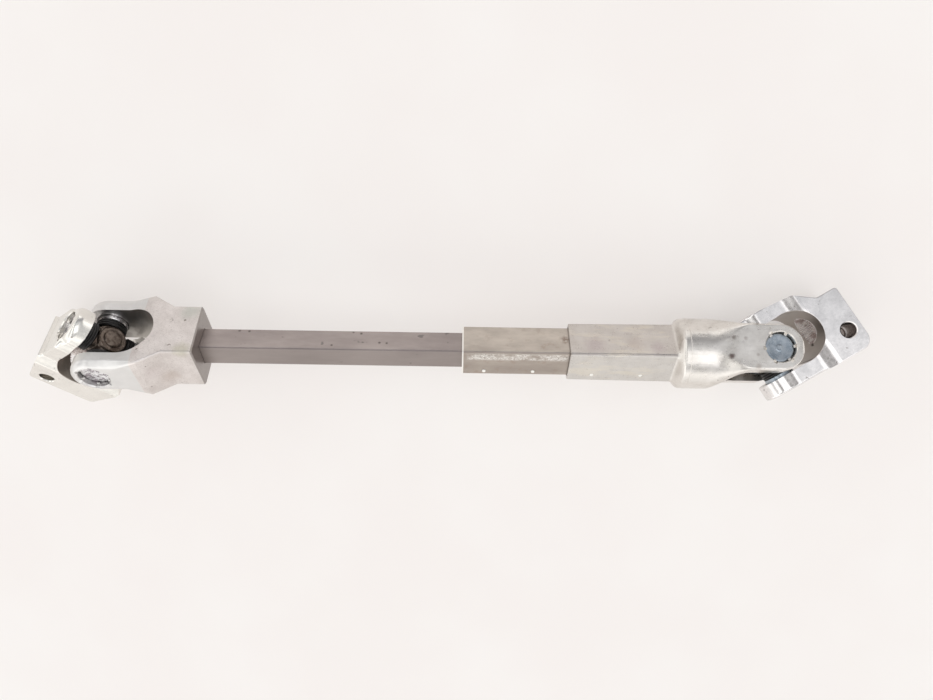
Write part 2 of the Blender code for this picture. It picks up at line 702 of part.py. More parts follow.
def build():
    """Build every piece and put it in place."""
    clear_scene()
    milled = finish_material("milled_aluminium", (0.62, 0.61, 0.59), 0.42, 1.0, ALUMINIUM_DENSITY)
    drawn = finish_material("drawn_aluminium", (0.50, 0.50, 0.48), 0.45, 1.0, ALUMINIUM_DENSITY)
    shaft_grey = finish_material("shaft_aluminium", (0.33, 0.33, 0.33), 0.5, 1.0, ALUMINIUM_DENSITY)
    cup_steel = finish_material("cup_steel", (0.20, 0.22, 0.25), 0.3, 1.0, STEEL_DENSITY)
    forged = finish_material("forged_steel", (0.16, 0.13, 0.11), 0.5, 1.0, STEEL_DENSITY)
    rubber = finish_material("seal_rubber", (0.02, 0.02, 0.02), 0.7, 0.0, RUBBER_DENSITY)
    plastic = finish_material("white_plastic", (0.80, 0.79, 0.75), 0.5, 0.0, PLASTIC_DENSITY)

    rest = add_frame("laid_down", None, (0, 0, 0), (0, 0, 0))
    left = add_frame("left_joint", rest, (LEFT_JOINT_X, 0, 0), (LEFT_FORK_ROLL, 0, math.pi))
    right = add_frame("right_joint", rest, (RIGHT_JOINT_X, 0, 0), (RIGHT_FORK_ROLL, 0, 0))
    left_turn = add_frame("left_cross_turn", left, (0, 0, 0), (0, LEFT_CROSS_ANGLE, 0))
    right_turn = add_frame("right_cross_turn", right, (0, 0, 0), (0, RIGHT_CROSS_ANGLE, 0))
    left_clamp = add_frame("left_clamp_turn", left_turn, (0, 0, 0), (0, 0, -LEFT_CLAMP_ANGLE))
    right_clamp = add_frame("right_clamp_turn", right_turn, (0, 0, 0), (0, 0, -RIGHT_CLAMP_ANGLE))

    place(tube_yoke("tube_yoke"), rest, milled)
    place(sleeve("sleeve"), rest, drawn)
    place(shear_liner("shear_liner"), rest, plastic)
    place(slide_liner("slide_liner"), rest, plastic)
    place(inner_shaft("inner_shaft"), rest, shaft_grey)
    place(shaft_yoke("shaft_yoke"), left, milled)
    low_heel = [(0, -ARM_OUTER, 0), (RIGHT_ROOT_X, -RIGHT_ROOT_DEPTH, CLAMP_FILLET),
                (RIGHT_HEEL_X, -RIGHT_HEEL_DEPTH, CLAMP_FILLET),
                (CLAMP_LENGTH, -RIGHT_HEEL_DEPTH, CLAMP_CORNER)]
    round_ear = [(CLAMP_LENGTH, RIGHT_EAR_HEIGHT, RIGHT_EAR_RADIUS), (0, RIGHT_EAR_HEIGHT, 0)]
    sloped_heel = [(0, -CLAMP_REACH, 0), (LEFT_ROOT_X, -LEFT_HEEL_ROOT, CLAMP_FILLET),
                   (CLAMP_LENGTH, -LEFT_HEEL_DEPTH, LEFT_CORNER)]
    sloped_ear = [(CLAMP_LENGTH, LEFT_EAR_HEIGHT, LEFT_CORNER), (LEFT_ROOT_X, LEFT_EAR_ROOT, CLAMP_FILLET),
                  (0, LEFT_EAR_ROOT, 0)]
    left_yoke = clamp_yoke("left_clamp_yoke", LEFT_TIP_REACH, sloped_heel, sloped_ear)
    right_yoke = clamp_yoke("right_clamp_yoke", RIGHT_TIP_REACH, low_heel, round_ear)
    place(left_yoke, left_clamp, milled)
    place(right_yoke, right_clamp, milled)

    cup = cup_mesh()
    seal = seal_mesh()
    for template in (cup, seal):
        shade(template)
    sides = (("left", left, left_turn, left_clamp), ("right", right, right_turn, right_clamp))
    for side, fork, turn, clamp in sides:
        place(cross(f"{side}_cross"), turn, forged)
        bearings(side, fork, clamp, cup.data, seal.data, cup_steel, rubber)
    for template in (cup, seal):
        bpy.data.objects.remove(template, do_unlink=True)
    lay_down(rest)


build()
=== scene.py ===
"""Looks of a telescopic steering shaft with a cardan joint and a pinch clamp at each end."""

import json
import math

import bmesh
import bpy
from mathutils import Matrix, Vector


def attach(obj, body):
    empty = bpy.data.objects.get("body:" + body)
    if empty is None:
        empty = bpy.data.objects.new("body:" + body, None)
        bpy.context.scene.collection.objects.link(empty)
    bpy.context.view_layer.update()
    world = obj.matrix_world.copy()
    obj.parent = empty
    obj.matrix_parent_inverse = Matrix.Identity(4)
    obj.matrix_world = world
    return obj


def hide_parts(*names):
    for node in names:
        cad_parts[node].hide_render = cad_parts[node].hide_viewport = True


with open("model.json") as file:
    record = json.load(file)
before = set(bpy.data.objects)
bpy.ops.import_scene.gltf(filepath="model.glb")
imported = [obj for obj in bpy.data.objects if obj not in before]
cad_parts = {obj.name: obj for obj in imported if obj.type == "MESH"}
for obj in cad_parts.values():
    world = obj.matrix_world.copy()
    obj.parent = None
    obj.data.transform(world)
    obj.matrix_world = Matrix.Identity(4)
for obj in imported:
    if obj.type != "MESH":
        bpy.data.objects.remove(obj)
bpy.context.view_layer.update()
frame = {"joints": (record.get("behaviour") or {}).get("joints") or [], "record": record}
MM = 0.001

# Photograph view. The shaft's own frame has X along the sliding bar towards the tube yoke and Z
# towards the camera; the fork of the left joint is rolled in it. The camera stands over the shaft.
FORK_ROLL = math.radians(36.0)
SHAFT_CENTRE_FROM_LEFT = 201.0 * MM
CAMERA_DISTANCE = 422.0 * MM
CAMERA_LENS_PX = 755
FRAME_WIDTH_PX = 933
SENSOR = 36.0
CAMERA_LEAN = math.radians(0.3)
CAMERA_TURN = math.radians(0.9)
CAMERA_CLIP = 0.01

joints = {joint["name"]: joint for joint in frame["joints"]}
mount_axes = {mount["name"]: Vector(mount["axis"]) for mount in frame["record"]["mounts"]}


def axes(origin, x, y):
    """A frame with the given X and Y at an origin."""
    z = x.cross(y).normalized()
    matrix = Matrix((x.normalized(), z.cross(x).normalized(), z)).transposed().to_4x4()
    matrix.translation = origin
    return matrix


shaft_x = Vector(joints["telescope"]["axis"])
left_pivot = Vector(joints["left_fork_pivot"]["axis"])
left_centre = Vector(joints["left_fork_pivot"]["pos_m"])
right_pivot = Vector(joints["right_fork_pivot"]["axis"])
right_centre = Vector(joints["right_fork_pivot"]["pos_m"])
shaft_z = math.sin(FORK_ROLL) * left_pivot - math.cos(FORK_ROLL) * shaft_x.cross(left_pivot)
shaft_frame = axes(left_centre + shaft_x * SHAFT_CENTRE_FROM_LEFT, shaft_x, shaft_z.cross(shaft_x))
left_frame = axes(left_centre, -shaft_x, left_pivot)
right_frame = axes(right_centre, shaft_x, right_pivot)
cross_frames = {}
clamp_frames = {}
for side, centre, pivot in (("left", left_centre, left_pivot), ("right", right_centre, right_pivot)):
    clamp_z = Vector(joints[f"{side}_clamp_pivot"]["axis"])
    cross_frames[side] = axes(centre, pivot.cross(clamp_z), pivot)
    clamp_x = mount_axes[f"{side}_clamp_end"]
    clamp_frames[side] = axes(centre, clamp_x, clamp_z.cross(clamp_x))
shaft_centre = shaft_frame.translation
shaft_axes = shaft_frame.to_3x3()
camera_up = shaft_axes @ Vector((-math.sin(CAMERA_LEAN), 0, math.cos(CAMERA_LEAN)))
along = shaft_axes @ Vector((math.cos(CAMERA_LEAN), 0, math.sin(CAMERA_LEAN)))
across = shaft_axes @ Vector((0, 1, 0))
camera_x = along * math.cos(CAMERA_TURN) + across * math.sin(CAMERA_TURN)
camera_data = bpy.data.cameras.new("camera")
camera_data.sensor_width = SENSOR
camera_data.lens = SENSOR * CAMERA_LENS_PX / FRAME_WIDTH_PX
camera_data.clip_start = CAMERA_CLIP
camera = bpy.data.objects.new("camera", camera_data)
camera.matrix_world = axes(shaft_centre + camera_up * CAMERA_DISTANCE, camera_x,
                           camera_up.cross(camera_x))
bpy.context.scene.collection.objects.link(camera)
bpy.context.scene.camera = camera
bpy.context.scene.view_settings.view_transform = "Standard"


# Ground and sky. The shaft lies on a pale warm board that is lit from below too, as on a light
# table. A white studio tent stands over it. Long soft boxes hang in the tent, with black flags
# beside them that draw dark bands on the curved metal.
GROUND_SIZE = 3.0
GROUND_GLOW = (1.0, 0.955, 0.925, 1)
GROUND_SHINE = 0.42
GROUND_DARK = (0.455, 0.43, 0.415)
GROUND_LIGHT = (0.47, 0.455, 0.44)
TENT_BRIGHTNESS = 1.8
RINGS = ((0.0, (0.58, 0.57, 0.56)), (0.10, (0.80, 0.79, 0.78)), (0.42, (0.86, 0.85, 0.84)),
         (0.52, (0.34, 0.34, 0.345)), (0.74, (0.36, 0.36, 0.365)), (0.86, (0.44, 0.445, 0.46)),
         (1.0, (0.46, 0.47, 0.49)))
FLAGS = ((-0.30, 0.08, -0.05, 0.55, 0.07, (0.19, 0.185, 0.185)),
         (0.00, 0.75, 0.66, 0.15, 0.09, (0.21, 0.21, 0.22)))
SOFT_BOXES = ((0.0, 0.75, 0.96, 0.09, 0.05, (0.84, 0.83, 0.82)),
              (0.14, 0.30, -0.20, 0.33, 0.06, (0.95, 0.95, 0.96)),
              (-0.54, 0.08, -0.08, 0.75, 0.07, (0.98, 0.98, 0.97)))
SPOT_GRAIN = 0.7
SPOT_RAGGEDNESS = 0.35
SPOT_FADE = 0.15
MIX_COLOURS = (6, 7)
MIX_RESULT = 2


class Value:
    """One socket of a node tree; sums and products on it read as they do on paper."""

    def __init__(self, wiring, socket):
        self.wiring = wiring
        self.socket = socket

    def maths(self, operation, other, flipped=False):
        """This value and another through a Math node."""
        first, second = (other, self) if flipped else (self, other)
        return self.wiring.add("ShaderNodeMath", {"operation": operation}, {0: first, 1: second})

    def __add__(self, other):
        return self.maths("ADD", other)

    def __sub__(self, other):
        return self.maths("SUBTRACT", other)

    def __rsub__(self, other):
        return self.maths("SUBTRACT", other, True)

    def __mul__(self, other):
        return self.maths("MULTIPLY", other)

    def between(self, low, high):
        """0 below low, 1 above high, smooth between."""
        settings = {"interpolation_type": "SMOOTHSTEP"}
        ends = {"Value": self, "From Min": low, "From Max": high}
        return self.wiring.add("ShaderNodeMapRange", settings, ends)

    def near(self, middle, half, soft):
        """1 within half of the middle, fading to 0 over soft."""
        return (self - middle).maths("ABSOLUTE", 0.0).between(half + soft, half)


class Wiring:
    """A node tree that is wired up node by node."""

    def __init__(self, tree):
        self.tree = tree
        self.nodes = tree.nodes

    def add(self, kind, settings, inputs, output=0):
        """A node with its settings, its inputs and the output that is wanted."""
        node = self.nodes.new(kind)
        for name, setting in settings.items():
            setattr(node, name, setting)
        for name, value in inputs.items():
            if isinstance(value, Value):
                self.tree.links.new(value.socket, node.inputs[name])
            else:
                node.inputs[name].default_value = value
        return Value(self, node.outputs[output])

    def vectors(self, operation, first, second, output=0):
        """Two vectors through a Vector Math node."""
        return self.add("ShaderNodeVectorMath", {"operation": operation}, {0: first, 1: second}, output)

    def mixed(self, first, second, share):
        """Two colours mixed by a share."""
        inputs = {"Factor": share}
        for number, colour in zip(MIX_COLOURS, (first, second)):
            inputs[number] = colour if isinstance(colour, Value) else (*colour, 1)
        return self.add("ShaderNodeMix", {"data_type": "RGBA"}, inputs, MIX_RESULT)


class Finish(Wiring):
    """A Principled material and the nodes that vary it over the surface."""

    def __init__(self, name, roughness, metallic, **fixed):
        self.material = bpy.data.materials.new(name)
        self.material.use_nodes = True
        super().__init__(self.material.node_tree)
        self.shader = self.nodes["Principled BSDF"]
        for socket, number in {"Roughness": roughness, "Metallic": metallic, **fixed}.items():
            self.shader.inputs[socket.replace("_", " ")].default_value = number
        self.place = self.add("ShaderNodeTexCoord", {}, {}, "Object")
        self.tint = None

    def base(self, dark, light, share):
        """The colour of the surface before it is painted over."""
        self.tint = self.mixed(dark, light, share)

    def paint(self, colour, share):
        """A colour laid over the tint by a share."""
        self.tint = self.mixed(self.tint, colour, share)

    def noise(self, size, detail=4, rough=0.55, stretch=(1, 1, 1), seed=0.0):
        """Noise whose grains have the given size in metres, times the stretch along each axis."""
        scale = tuple(1 / part for part in stretch)
        inputs = {"Vector": self.place, "Location": (seed, seed, -seed), "Scale": scale}
        where = self.add("ShaderNodeMapping", {}, inputs)
        inputs = {"Vector": where, "Scale": 1 / size, "Detail": detail, "Roughness": rough}
        return self.add("ShaderNodeTexNoise", {}, inputs)

    def spot(self, place, radius):
        """1 inside a ragged spot about a point, 0 outside."""
        grain = self.noise(radius * SPOT_GRAIN, 4, 0.65)
        reach = self.vectors("DISTANCE", self.place, place, "Value")
        ragged = reach + (grain - 0.5) * (radius * 2 * SPOT_RAGGEDNESS)
        return ragged.between(radius, radius * SPOT_FADE)

    def along(self, axis, origin):
        """How far the surface lies along an axis from an origin."""
        return self.vectors("DOT_PRODUCT", self.vectors("SUBTRACT", self.place, origin), axis, "Value")

    def around(self, axis, origin):
        """How far the surface lies from the line along an axis through an origin."""
        arm = self.vectors("CROSS_PRODUCT", self.vectors("SUBTRACT", self.place, origin), axis)
        return self.vectors("LENGTH", arm, (0, 0, 0), "Value")

    def slab(self, axis, origin, middle, half, soft):
        """1 within half of the middle along an axis from an origin, fading over soft."""
        return self.along(axis, origin).near(middle, half, soft)

    def wear(self, roughness=None, height=None, depth=0.0, metal=None):
        """Connects what varies over the surface."""
        varying = {"Base Color": self.tint, "Roughness": roughness, "Metallic": metal}
        if height:
            bump = {"Height": height, "Distance": depth, "Strength": 1.0}
            varying["Normal"] = self.add("ShaderNodeBump", {}, bump)
        for name, value in varying.items():
            if value:
                self.tree.links.new(value.socket, self.shader.inputs[name])


board = bmesh.new()
bmesh.ops.create_grid(board, x_segments=1, y_segments=1, size=GROUND_SIZE)
ground_mesh = bpy.data.meshes.new("ground")
board.to_mesh(ground_mesh)
board.free()
ground = bpy.data.objects.new("ground", ground_mesh)
bpy.context.scene.collection.objects.link(ground)
ground_finish = Finish("ground_board", 0.7, 0.0, Emission_Color=GROUND_GLOW, Emission_Strength=GROUND_SHINE)
ground_finish.base(GROUND_DARK, GROUND_LIGHT, ground_finish.noise(0.12, 3, 0.5).between(0.35, 0.7))
ground_finish.wear()
ground.data.materials.append(ground_finish.material)

sky = bpy.data.worlds.new("studio")
sky.use_nodes = True
bpy.context.scene.world = sky
tent = Wiring(sky.node_tree)
direction = tent.add("ShaderNodeTexCoord", {}, {}, "Generated")
to_right, to_top, to_camera = (tent.vectors("DOT_PRODUCT", direction, axis, "Value")
                               for axis in (camera_x, camera_up.cross(camera_x), camera_up))
tent_colour = tent.add("ShaderNodeValToRGB", {}, {"Fac": to_camera})
stops = tent_colour.socket.node.color_ramp.elements
while len(stops) < len(RINGS):
    stops.new(1.0)
for stop, (position, colour) in zip(stops, RINGS):
    stop.position = position
    stop.color = (*colour, 1)
for right, half_right, top, half_top, soft, colour in FLAGS + SOFT_BOXES:
    mask = to_right.near(right, half_right, soft) * to_top.near(top, half_top, soft)
    tent_colour = tent.mixed(tent_colour, colour, mask)
background = tent.nodes["Background"]
background.inputs["Strength"].default_value = TENT_BRIGHTNESS
tent.tree.links.new(tent_colour.socket, background.inputs["Color"])


# Sliding bar. A solid square aluminium bar, drawn, chamfered at its hidden end and pressed into
# the block of the shaft yoke. It is dull grey, with fine lines along it and a few dark nicks. Its lower
# face is painted darker as shade, with a dark line of painted shade along the ridge.
BAR_SIDE = 14.0 * MM
BAR_CORNER = 1.0 * MM
BAR_CHAMFER = 1.0 * MM
BAR_START = -164.0 * MM
BAR_END = 62.0 * MM
SECTION_ROLL = math.radians(50.0)
CORNER_STEPS = 8
BAR_RIDGE = -0.8 * MM
RIDGE_HALF = 0.2 * MM
CRISP_ANGLE = 32
BAR_DARK = (0.31, 0.27, 0.258)
BAR_LIGHT = (0.45, 0.395, 0.375)
BAR_LOWER_PAINTED_SHADE = (0.24, 0.21, 0.195)
BAR_RIDGE_PAINTED_SHADE = (0.12, 0.10, 0.10)
BAR_FLECK = (0.13, 0.12, 0.12)
NICK_TINT = (0.09, 0.075, 0.07)
NICK_SHARE = 0.85
BAR_NICKS = ((-126.2, 8.6, 1.5, 1.2), (-120.7, 8.4, 1.8, 1.1), (-74.0, 1.7, 8.0, 1.0),
             (-63.0, 8.6, 1.5, 1.0), (-58.5, 8.0, 2.0, 1.2), (-48.0, 3.3, 6.5, 1.1),
             (-44.0, 3.1, 6.6, 1.0), (-31.0, -8.2, 1.8, 1.1))
record = frame["record"]
bodies = {node: body for body, nodes in record["behaviour"]["bodies"].items() for node in nodes}


def rounded(half_y, half_z, corner, roll, steps):
    """Points of a rounded rectangle turned by roll."""
    points = []
    spin = Matrix.Rotation(roll, 2)
    for quarter, (y, z) in enumerate(((1, 1), (-1, 1), (-1, -1), (1, -1))):
        centre = Vector((y * (half_y - corner), z * (half_z - corner)))
        for k in range(steps + 1):
            angle = math.pi / 2 * (quarter + k / steps)
            points.append(spin @ (centre + corner * Vector((math.cos(angle), math.sin(angle)))))
    return points


def loft(sections, steps=CORNER_STEPS):
    """A closed skin through rounded rectangles (x, half y, half z, corner, roll)."""
    bm = bmesh.new()
    ring = bmesh.ops.create_circle(bm, cap_ends=True, radius=1, segments=4 * (steps + 1))["verts"]
    for number, (x, *shape) in enumerate(sections):
        if number:
            border = {edge for vert in ring for edge in vert.link_edges if edge.is_boundary}
            grown = bmesh.ops.extrude_edge_only(bm, edges=list(border))["geom"]
            fresh = {part for part in grown if isinstance(part, bmesh.types.BMVert)}
            ring = [next(edge.other_vert(vert) for edge in vert.link_edges
                         if edge.other_vert(vert) in fresh) for vert in ring]
        for vert, point in zip(ring, rounded(*shape, steps)):
            vert.co = (x, *point)
    bmesh.ops.holes_fill(bm, edges=[edge for edge in bm.edges if edge.is_boundary])
    bmesh.ops.recalc_face_normals(bm, faces=bm.faces)
    return bm


def placed(name, bm, matrix=Matrix()):
    """An object from a mesh, set in a frame."""
    bm.transform(matrix)
    mesh = bpy.data.meshes.new(name)
    bm.to_mesh(mesh)
    bm.free()
    piece = bpy.data.objects.new(name, mesh)
    bpy.context.scene.collection.objects.link(piece)
    return piece


def dressed(piece, finish, node, angle=CRISP_ANGLE, stands_for=True):
    """Smooth faces with crisp edges, a finish, and the solid that the piece goes with."""
    piece.data.shade_smooth()
    piece.data.set_sharp_from_angle(angle=math.radians(angle))
    normals = piece.modifiers.new("even_normals", "WEIGHTED_NORMAL")
    normals.keep_sharp = True
    piece.data.materials.clear()
    piece.data.materials.append(finish)
    if stands_for:
        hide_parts(node)
    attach(piece, bodies[node])
    return piece


def below(finish, ridge_y):
    """1 on the lower visible face of a square section, 0 on the upper one; masks the face painted darker as
    shade.
    """
    return finish.along(across, shaft_centre).between(ridge_y + RIDGE_HALF, ridge_y - RIDGE_HALF)


def ridged(finish, ridge_y):
    """1 on the ridge between those two faces; masks the dark line painted there as shade."""
    return finish.slab(across, shaft_centre, ridge_y, RIDGE_HALF, RIDGE_HALF)


def stained(finish, stains):
    """Ragged stains, each with its place and radius in millimetres, its colour and its share."""
    for x, y, z, radius, colour, share in stains:
        stain = finish.spot(shaft_frame @ Vector((x * MM, y * MM, z * MM)), radius * MM)
        finish.paint(colour, stain * share)


bar_finish = Finish("bar_aluminium", 0.5, 1.0)
lines = bar_finish.noise(0.0011, 3, 0.6, (80, 1, 1))
clouds = bar_finish.noise(0.02, 5, 0.6, (3, 1, 1))
flecks = bar_finish.noise(0.0042, 2, 0.5, (1.6, 1, 1), seed=3.1).between(0.69, 0.76)
bar_finish.base(BAR_DARK, BAR_LIGHT, clouds.between(0.3, 0.7))
stained(bar_finish, [(*nick, NICK_TINT, NICK_SHARE) for nick in BAR_NICKS])
bar_finish.paint(BAR_FLECK, flecks * 0.6)
# Painted shade: the lower face is painted darker, and a dark line is painted along the ridge.
bar_finish.paint(BAR_LOWER_PAINTED_SHADE, below(bar_finish, BAR_RIDGE) * 0.62)
bar_finish.paint(BAR_RIDGE_PAINTED_SHADE, ridged(bar_finish, BAR_RIDGE) * 0.5)
bar_finish.wear(lines * 0.16 + clouds * 0.12 + 0.30, lines * 0.8 - flecks * 0.6, 0.00010)

bar_half = BAR_SIDE / 2
bar = loft([(BAR_START, bar_half, bar_half, BAR_CORNER, SECTION_ROLL),
            (BAR_END - BAR_CHAMFER, bar_half, bar_half, BAR_CORNER, SECTION_ROLL),
            (BAR_END, bar_half - BAR_CHAMFER, bar_half - BAR_CHAMFER, BAR_CORNER / 2, SECTION_ROLL)])
dressed(placed("bar", bar, shaft_frame), bar_finish.material, "inner_shaft")


# Drawn sleeve. A square aluminium tube with a greenish grey film that slides on the bar. Its mouth
# is faced off to bare metal, with a band round it painted near white as a highlight, and its ridge is
# scuffed where it rubbed against the tube. Its lower face is painted darker as shade, with a dark
# line of painted shade along the ridge.
SLEEVE_SIDE = 19.1 * MM
SLEEVE_CORNER = 1.3 * MM
SLEEVE_BORE = 16.1 * MM
SLEEVE_BORE_CORNER = 1.5 * MM
SLEEVE_START = -2.5 * MM
SLEEVE_END = 114.0 * MM
MOUTH_EDGE = 0.35 * MM
PLUG_DIAMETER = 1.8 * MM
PLUG_GAP = 0.25 * MM
PLUG_SPACING = 27.2 * MM
PLUG_OFFSET = 6.2 * MM
SLEEVE_PLUG_X = 9.8 * MM
SLEEVE_RIDGE = -1.1 * MM
SLEEVE_DARK = (0.40, 0.355, 0.315)
SLEEVE_LIGHT = (0.57, 0.515, 0.455)
SLEEVE_LOWER_PAINTED_SHADE = (0.28, 0.235, 0.205)
SLEEVE_RIDGE_PAINTED_SHADE = (0.15, 0.12, 0.11)
SLEEVE_BROWN = (0.30, 0.22, 0.17)
SLEEVE_STAIN_TINT = (0.20, 0.14, 0.11)
SLEEVE_STAIN = (54.5 * MM, 6.5 * MM, 7.0 * MM)
SLEEVE_STAIN_RADIUS = 4.4 * MM
BARE_METAL_AND_HIGHLIGHT = (0.88, 0.86, 0.82)
SCUFF_ACROSS = (-3.6 * MM, 1.0 * MM, 1.2 * MM)
SCUFF_ALONG = (28 * MM, 26 * MM, 3 * MM)
MOUTH_HIGHLIGHT_BAND = (0.7 * MM, 0.2 * MM)
RIM_ROUNDING = ((0.3, 0.7), (0.7, 0.3))
PIN_STEPS = 28
OVERRUN = 1.0 * MM


def combined(body, tool, operation="DIFFERENCE"):
    """A body cut, joined or intersected with a tool, which is used up."""
    step = body.modifiers.new("step", "BOOLEAN")
    step.operation = operation
    step.solver = "EXACT"
    step.object = tool
    graph = bpy.context.evaluated_depsgraph_get()
    result = bpy.data.meshes.new_from_object(body.evaluated_get(graph), depsgraph=graph)
    body.modifiers.clear()
    body.data = result
    bpy.data.objects.remove(tool, do_unlink=True)
    return body


def hollowed(body, low, high, side, corner, roll):
    """The body with a square hole along X."""
    hole = loft([(x, side / 2, side / 2, corner, roll) for x in (low, high)])
    return combined(body, placed("hole", hole))


def prism(points, low, high, rim=0.0):
    """A solid from low to high along Z with the outline given in XY and chamfered rims."""
    bm = bmesh.new()
    ring = bmesh.ops.create_circle(bm, cap_ends=True, radius=1, segments=len(points))["verts"]
    for vert, (u, v) in zip(ring, points):
        vert.co = (u, v, low + rim)
    grown = bmesh.ops.extrude_face_region(bm, geom=list(bm.faces))["geom"]
    top = [part for part in grown if isinstance(part, bmesh.types.BMVert)]
    bmesh.ops.translate(bm, vec=(0, 0, high - low - 2 * rim), verts=top)
    bmesh.ops.recalc_face_normals(bm, faces=bm.faces)
    if rim:
        caps = [face for face in bm.faces if len(face.verts) == len(points)]
        for inward, upward in RIM_ROUNDING:
            bmesh.ops.inset_region(bm, faces=caps, thickness=inward * rim, depth=upward * rim,
                                   use_even_offset=True)
    return bm


def square_tube(name, outer, outer_corner, inner, inner_corner, low, high):
    """A straight square tube with broken edges at its mouths."""
    half = outer / 2
    shape = [(low, half - MOUTH_EDGE), (low + MOUTH_EDGE, half),
             (high - MOUTH_EDGE, half), (high, half - MOUTH_EDGE)]
    body = placed(name, loft([(x, reach, reach, outer_corner, SECTION_ROLL) for x, reach in shape]))
    hollowed(body, low - OVERRUN, high + OVERRUN, inner, inner_corner, SECTION_ROLL)
    body.data.transform(shaft_frame)
    return body


def plug_pins(x, radius, low, high):
    """Two round pins through the wall that faces up and forward, in the shaft's frame."""
    turn = Matrix.Rotation(SECTION_ROLL, 4, "X")
    angles = [math.tau * k / PIN_STEPS for k in range(PIN_STEPS)]
    outline = [(radius * math.cos(angle), radius * math.sin(angle)) for angle in angles]
    for k in range(2):
        pin = prism(outline, low, high)
        start = shaft_frame @ Matrix.Translation((x + k * PLUG_SPACING, 0, 0))
        yield placed("pin", pin, start @ turn @ Matrix.Translation((0, -PLUG_OFFSET, 0)))


sleeve_finish = Finish("sleeve_aluminium", 0.42, 1.0)
lines = sleeve_finish.noise(0.0010, 3, 0.6, (60, 1, 1), seed=1.3)
clouds = sleeve_finish.noise(0.012, 5, 0.62, (2.5, 1, 1), seed=0.4)
ridge_scuff = (sleeve_finish.slab(across, shaft_centre, *SCUFF_ACROSS)
               * sleeve_finish.slab(shaft_x, shaft_centre, *SCUFF_ALONG)
               * sleeve_finish.noise(0.0009, 5, 0.8, (1.3, 1, 1), seed=2.2).between(0.40, 0.56)
               * sleeve_finish.noise(0.005, 2, 0.5, (1.5, 1, 1), seed=7.2).between(0.30, 0.60))
mouth_highlight = sleeve_finish.slab(shaft_x, shaft_centre, SLEEVE_START, *MOUTH_HIGHLIGHT_BAND)
sleeve_finish.base(SLEEVE_DARK, SLEEVE_LIGHT, clouds.between(0.3, 0.7))
# Painted shade: the lower face is painted darker, and a dark line is painted along the ridge.
sleeve_finish.paint(SLEEVE_LOWER_PAINTED_SHADE, below(sleeve_finish, SLEEVE_RIDGE) * 0.5)
sleeve_finish.paint(SLEEVE_RIDGE_PAINTED_SHADE, ridged(sleeve_finish, SLEEVE_RIDGE) * 0.5)
brown = sleeve_finish.noise(0.006, 5, 0.7, seed=8.8).between(0.54, 0.68)
sleeve_finish.paint(SLEEVE_BROWN, brown * 0.35)
stain = sleeve_finish.spot(shaft_frame @ Vector(SLEEVE_STAIN), SLEEVE_STAIN_RADIUS)
stain_grain = sleeve_finish.noise(0.0016, 4, 0.7, seed=1.9).between(0.40, 0.60)
sleeve_finish.paint(SLEEVE_STAIN_TINT, stain * stain_grain * 0.75)
# Near white: real scuffs on the ridge, and a painted highlight band round the faced mouth.
sleeve_finish.paint(BARE_METAL_AND_HIGHLIGHT, ridge_scuff * 0.8 + mouth_highlight)
sleeve_finish.wear(lines * 0.14 + clouds * 0.14 + 0.24, lines * 0.8 + ridge_scuff * 0.8, 0.00010)

sleeve = square_tube("drawn_sleeve", SLEEVE_SIDE, SLEEVE_CORNER, SLEEVE_BORE, SLEEVE_BORE_CORNER,
                     SLEEVE_START, SLEEVE_END)
for pin in plug_pins(SLEEVE_PLUG_X, PLUG_DIAMETER / 2 + PLUG_GAP, 0, SLEEVE_SIDE):
    combined(sleeve, pin)
dressed(sleeve, sleeve_finish.material, "sleeve")


# White plugs. Plastic is moulded between the square sections through two holes in each wall. It
# fills the holes and shows as small matt dots, a little raised where the mould gate was cut off.
LINERS = {"slide_liner": (15.6, 1.5, 14.6, 1.0, -1.0, 51.5, 9.8, 19.1, 0.35),
          "shear_liner": (20.6, 2.1, 19.6, 1.6, 57.8, 110.8, 69.6, 22.8, 0.15)}
PLASTIC_LIGHT = (0.86, 0.84, 0.79)
PLASTIC_DIRT = (0.55, 0.52, 0.47)
LINER_PLUG_GAP = 0.1 * MM
PLUG_ROOT = 0.5 * MM

white_plastic = Finish("white_plastic", 0.5, 0.0)
dirt = white_plastic.noise(0.0012, 3, 0.6)
white_plastic.base(PLASTIC_LIGHT, PLASTIC_DIRT, dirt.between(0.55, 0.75))
white_plastic.wear(dirt * 0.2 + 0.38, dirt, 0.00008)
for node, (outer, outer_corner, inner, inner_corner, low, high, plug_x, wall, proud) in LINERS.items():
    liner = square_tube(f"moulded_{node}", outer * MM, outer_corner * MM, inner * MM, inner_corner * MM,
                        low * MM, high * MM)
    root = (outer * MM - PLUG_ROOT) / 2
    for pin in plug_pins(plug_x * MM, PLUG_DIAMETER / 2 + LINER_PLUG_GAP, root, (wall / 2 + proud) * MM):
        combined(liner, pin, "UNION")
    dressed(liner, white_plastic.material, node)


# Yokes of the joints. Forged aluminium, bored for the bearing cups, with the rims staked over the
# cups in a few places. Each has two arms with round tips about the pivot.
ARM_OUTER = 23.0 * MM
ARM_INNER = 14.5 * MM
ARM_HALF = 12.7 * MM
BORE_RADIUS = 8.25 * MM
BORE_CHAMFER = 0.5 * MM
CUP_TOP = 20.0 * MM
TIP_STEPS = 16
TIP_TURN = math.radians(87)
TIP_POWER = 6
TIP_CORNER_SHARE = 0.95
STAKES = 6
STAKE_WIDTH = 1.9 * MM
STAKE_REACH = 1.0 * MM
STAKE_THICKNESS = 0.9 * MM
TONGUE_ROOT = 0.6 * MM
TONGUE_PLACE = (0.2 * MM, 0.3 * MM)
TONGUE_SHARE = 0.9
TONGUE_EDGE = 0.25 * MM
DENT_PLACE = (0.4 * MM, 0.35 * MM)
DENT_SIZE = (2.0 * MM, STAKE_WIDTH, 1.9 * MM)
DENT_LEAN = math.radians(38)
